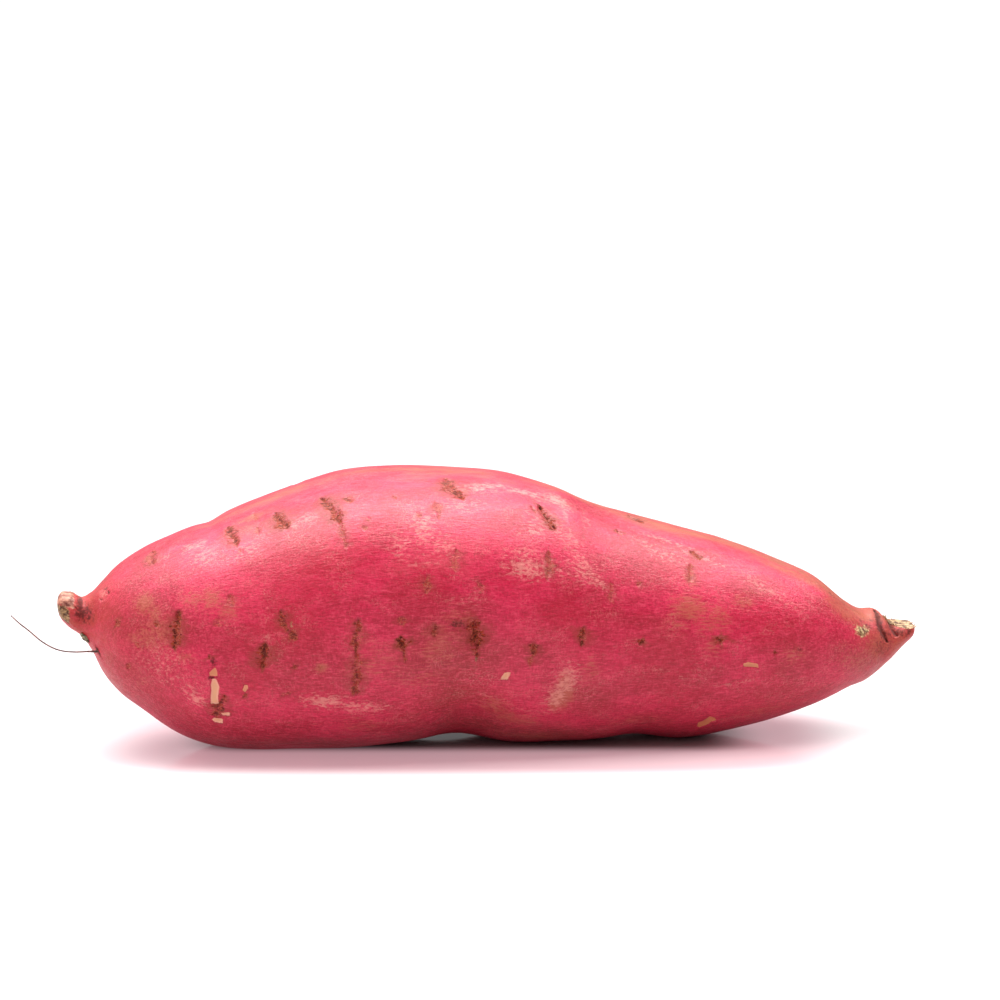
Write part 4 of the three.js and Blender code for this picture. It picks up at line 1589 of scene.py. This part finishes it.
@dataclass
class Studio:
    """The pale floor, which glows with painted light, reflection and shadow, the soft lights and the camera.
    """

    azimuth: float = -8.0
    elevation: float = 10.0
    distance: float = 0.6456
    lens: float = 100.0
    target: tuple[float, float, float] = (0.0, 0.0, 32.0)  # in the form's millimetres
    target_pixel: tuple[float, float] = (493.2, 602.6)
    image_size: float = 1000.0
    sensor: float = 36.0
    clip: tuple[float, float] = (0.05, 50.0)
    floor_size: float = 12.0
    floor_colour: Colour = (0.52, 0.42, 0.44, 1.0)
    floor_roughness: float = 0.1
    floor_ior: float = 1.5
    root_slimness: float = 0.42  # the root's width over its length
    # the pink of the painted reflection of the root in the strip of floor beside it
    reflection_tint: Colour = (1.0, 0.62, 0.7, 1.0)
    reflection_edge: tuple[float, float] = (0.03, 0.039)  # where the strip of painted reflection beside the root ends
    squareness: float = 5.0  # how square the ends of the strip are
    shadow_across: tuple[float, float] = (0.019, 0.006)  # where the floor under the root gets no glow: a painted contact shadow
    shadow_along: tuple[float, float] = (0.075, 0.05)
    painted_reflection_glow: float = 0.4  # how much the floor glows where it is not under the root; pink in the strip, a painted reflection
    near_glow: float = 0.3  # how much more just past that
    far_glow: float = 0.3  # and how much more where it runs into the background
    far_reach: tuple[float, float] = (0.35, 1.2)
    sky: tuple[float, float] = (0.2, 0.45)  # the light from the side and from overhead
    sides: tuple[float, float] = (2.8, 0.45)  # how much of it comes from the left and the right
    sky_height: float = 0.9  # the height from which the light is that from overhead
    room_colour: Colour = (1.0, 0.985, 0.985, 1.0)
    background: float = 1.05  # how bright the background is to the camera
    bounce: float = 0.4  # how much of the floor's glow lights the root
    lamp_height: float = 0.9
    lamp_colour: tuple[float, float, float] = (1.0, 0.975, 0.95)
    lamp_energy: float = 24.0
    overhead: tuple[float, ...] = (1.5, 0.9, 0.1)  # a lamp's length, width and place behind the root
    sheen: tuple[float, ...] = (1.5, 0.5, 0.3)

    def build(self) -> None:
        """Builds everything round the root."""
        self._floor()
        self._world()
        self._overhead()
        self._camera()
        bpy.context.scene.view_settings.view_transform = "Standard"

    def _floor(self) -> None:
        """Lays the pale floor, which glows: pink beside the root as a painted reflection of it, dark under
        it as a painted shadow, and brighter far off.
        """
        bpy.ops.object.select_all(action="DESELECT")
        bpy.ops.mesh.primitive_plane_add(size=self.floor_size, location=(0, 0, 0))
        floor = bpy.context.active_object
        floor.name = "floor"
        material, shader, surface = started("glowing_pale_floor")
        surface.inputs["Base Color"].default_value = self.floor_colour
        surface.inputs["Roughness"].default_value = self.floor_roughness
        surface.inputs["IOR"].default_value = self.floor_ior
        place = shader.add("ShaderNodeTexCoord").outputs["Object"]
        turn = math.radians(self.azimuth)
        along = self._distance(shader, place, (math.cos(turn), math.sin(turn), 0))
        across = self._distance(shader, place, (-math.sin(turn), math.cos(turn), 0))
        slim = shader.math("POWER", shader.scaled(along, self.root_slimness), self.squareness)
        beside = shader.math("ADD", slim, shader.math("POWER", across, self.squareness))
        beside = shader.math("POWER", beside, 1 / self.squareness)
        reach = shader.add("ShaderNodeVectorMath", operation="LENGTH")
        shader.feed(reach.inputs[0], place)
        # the strip beside the root glows pink: a painted reflection of the root
        outside = shader.step(beside, *self.reflection_edge)
        shader.feed(surface.inputs["Emission Color"], shader.mix(outside, self.reflection_tint, WHITE))
        far_glow = shader.step(reach.outputs["Value"], *self.far_reach, (0.0, self.far_glow))
        near_glow = shader.scaled(outside, self.near_glow)
        # the floor under the root gets no glow: a painted contact shadow
        shadow_across = shader.step(across, *self.shadow_across)
        painted_shadow = shader.scaled(shadow_across, shader.step(along, *self.shadow_along))
        near_glow = shader.math("ADD", near_glow, shader.step(painted_shadow, 1.0, 0.0, (0.0, self.painted_reflection_glow)))
        path = shader.add("ShaderNodeLightPath")
        seen = shader.step(path.outputs["Is Camera Ray"], 0.0, 1.0, (self.bounce, 1.0))
        glow = shader.scaled(shader.math("ADD", far_glow, near_glow), seen)
        shader.feed(surface.inputs["Emission Strength"], glow)
        floor.data.materials.append(material)

    def _distance(self, shader: Shader, place: object, axis: tuple[float, float, float]) -> object:
        """Gives how far a place on the floor lies from the root's middle along an axis.

        Args:
            shader: the floor's nodes.
            place: the floor's own coordinates.
            axis: the axis.

        Returns:
            The distance in metres.
        """
        along = shader.add("ShaderNodeVectorMath", operation="DOT_PRODUCT")
        shader.feed(along.inputs[0], place)
        along.inputs[1].default_value = axis
        return shader.math("ABSOLUTE", along.outputs["Value"])

    def _world(self) -> None:
        """Sets the even white light all round."""
        world = bpy.data.worlds.new("studio")
        bpy.context.scene.world = world
        world.use_nodes = True
        shader = Shader(world.node_tree)
        output = world.node_tree.nodes["World Output"]
        room = world.node_tree.nodes["Background"]
        room.inputs["Color"].default_value = self.room_colour
        place = shader.add("ShaderNodeTexCoord")
        split = shader.add("ShaderNodeSeparateXYZ")
        shader.feed(split.inputs[0], place.outputs["Generated"])
        height = shader.step(split.outputs["Z"], 0.0, self.sky_height, self.sky)
        side = shader.step(split.outputs["X"], -1.0, 1.0, self.sides)
        shader.feed(room.inputs["Strength"], shader.scaled(height, side))
        seen = shader.add("ShaderNodeBackground")
        seen.inputs["Color"].default_value = WHITE
        seen.inputs["Strength"].default_value = self.background
        path = shader.add("ShaderNodeLightPath")
        both = shader.add("ShaderNodeMixShader")
        shader.feed(both.inputs[0], path.outputs["Is Camera Ray"])
        shader.feed(both.inputs[1], room.outputs[0])
        shader.feed(both.inputs[2], seen.outputs[0])
        shader.feed(output.inputs["Surface"], both.outputs[0])

    def _overhead(self) -> None:
        """Hangs the large soft light over the root, and one that only gives its sheen."""
        self._lamp("overhead", *self.overhead)
        self._lamp("sheen", *self.sheen).visible_diffuse = False

    def _lamp(self, name: str, length: float, width: float, back: float) -> bpy.types.Object:
        """Hangs one soft light.

        Args:
            name: the lamp's name.
            length: its length in metres.
            width: its width.
            back: how far behind the root it hangs, in metres.

        Returns:
            The lamp.
        """
        light = bpy.data.lights.new(name, "AREA")
        light.shape = "RECTANGLE"
        light.size, light.size_y = length, width
        light.energy = self.lamp_energy
        light.color = self.lamp_colour
        lamp = bpy.data.objects.new(name, light)
        lamp.location = (0.0, back, self.lamp_height)
        bpy.context.scene.collection.objects.link(lamp)
        return lamp

    def _camera(self) -> None:
        """Places the camera where the photograph was taken from."""
        turn = math.radians(self.azimuth)
        tilt = math.radians(self.elevation)
        back = Vector((math.sin(turn) * math.cos(tilt), -math.cos(turn) * math.cos(tilt), math.sin(tilt)))
        right = Vector((math.cos(turn), math.sin(turn), 0.0))
        up = back.cross(right)
        target = Vector(shifted(np.array([self.target]))[0])
        pixels = self.lens / self.sensor * self.image_size
        aside = (self.image_size / 2 - self.target_pixel[0]) / pixels
        above = (self.target_pixel[1] - self.image_size / 2) / pixels
        look = -back + right * aside + up * above
        camera = bpy.data.objects.new("camera", bpy.data.cameras.new("camera"))
        camera.data.lens = self.lens
        camera.data.sensor_width = self.sensor
        camera.data.clip_start, camera.data.clip_end = self.clip
        camera.location = target + back * self.distance
        camera.rotation_euler = look.to_track_quat("-Z", "Y").to_euler()
        bpy.context.scene.collection.objects.link(camera)
        bpy.context.scene.camera = camera


def report(piece: bpy.types.Object) -> None:
    """Logs a piece's name and its triangles."""
    triangles = sum(len(face.vertices) - 2 for face in piece.data.polygons)
    LOG.info("%s: %d triangles", piece.name, triangles)


def main() -> None:
    """Builds the studio and every piece."""
    logging.basicConfig(level=logging.INFO, format="%(name)s: %(message)s")
    Studio().build()
    grain = woody_grain_group()
    skin = Skin()
    report(skin.build(SkinFinish().material(grain)))
    report(RootHair().build(HAIR_FINISH.material("root_hair", grain)))
    report(CrownScab().build(SCAB_FINISH.material("crown_scab", grain)))
    report(TornFibres().build(skin.rim, FIBRE_FINISH.material("torn_fibres", grain)))


if __name__ == "__main__":
    main()
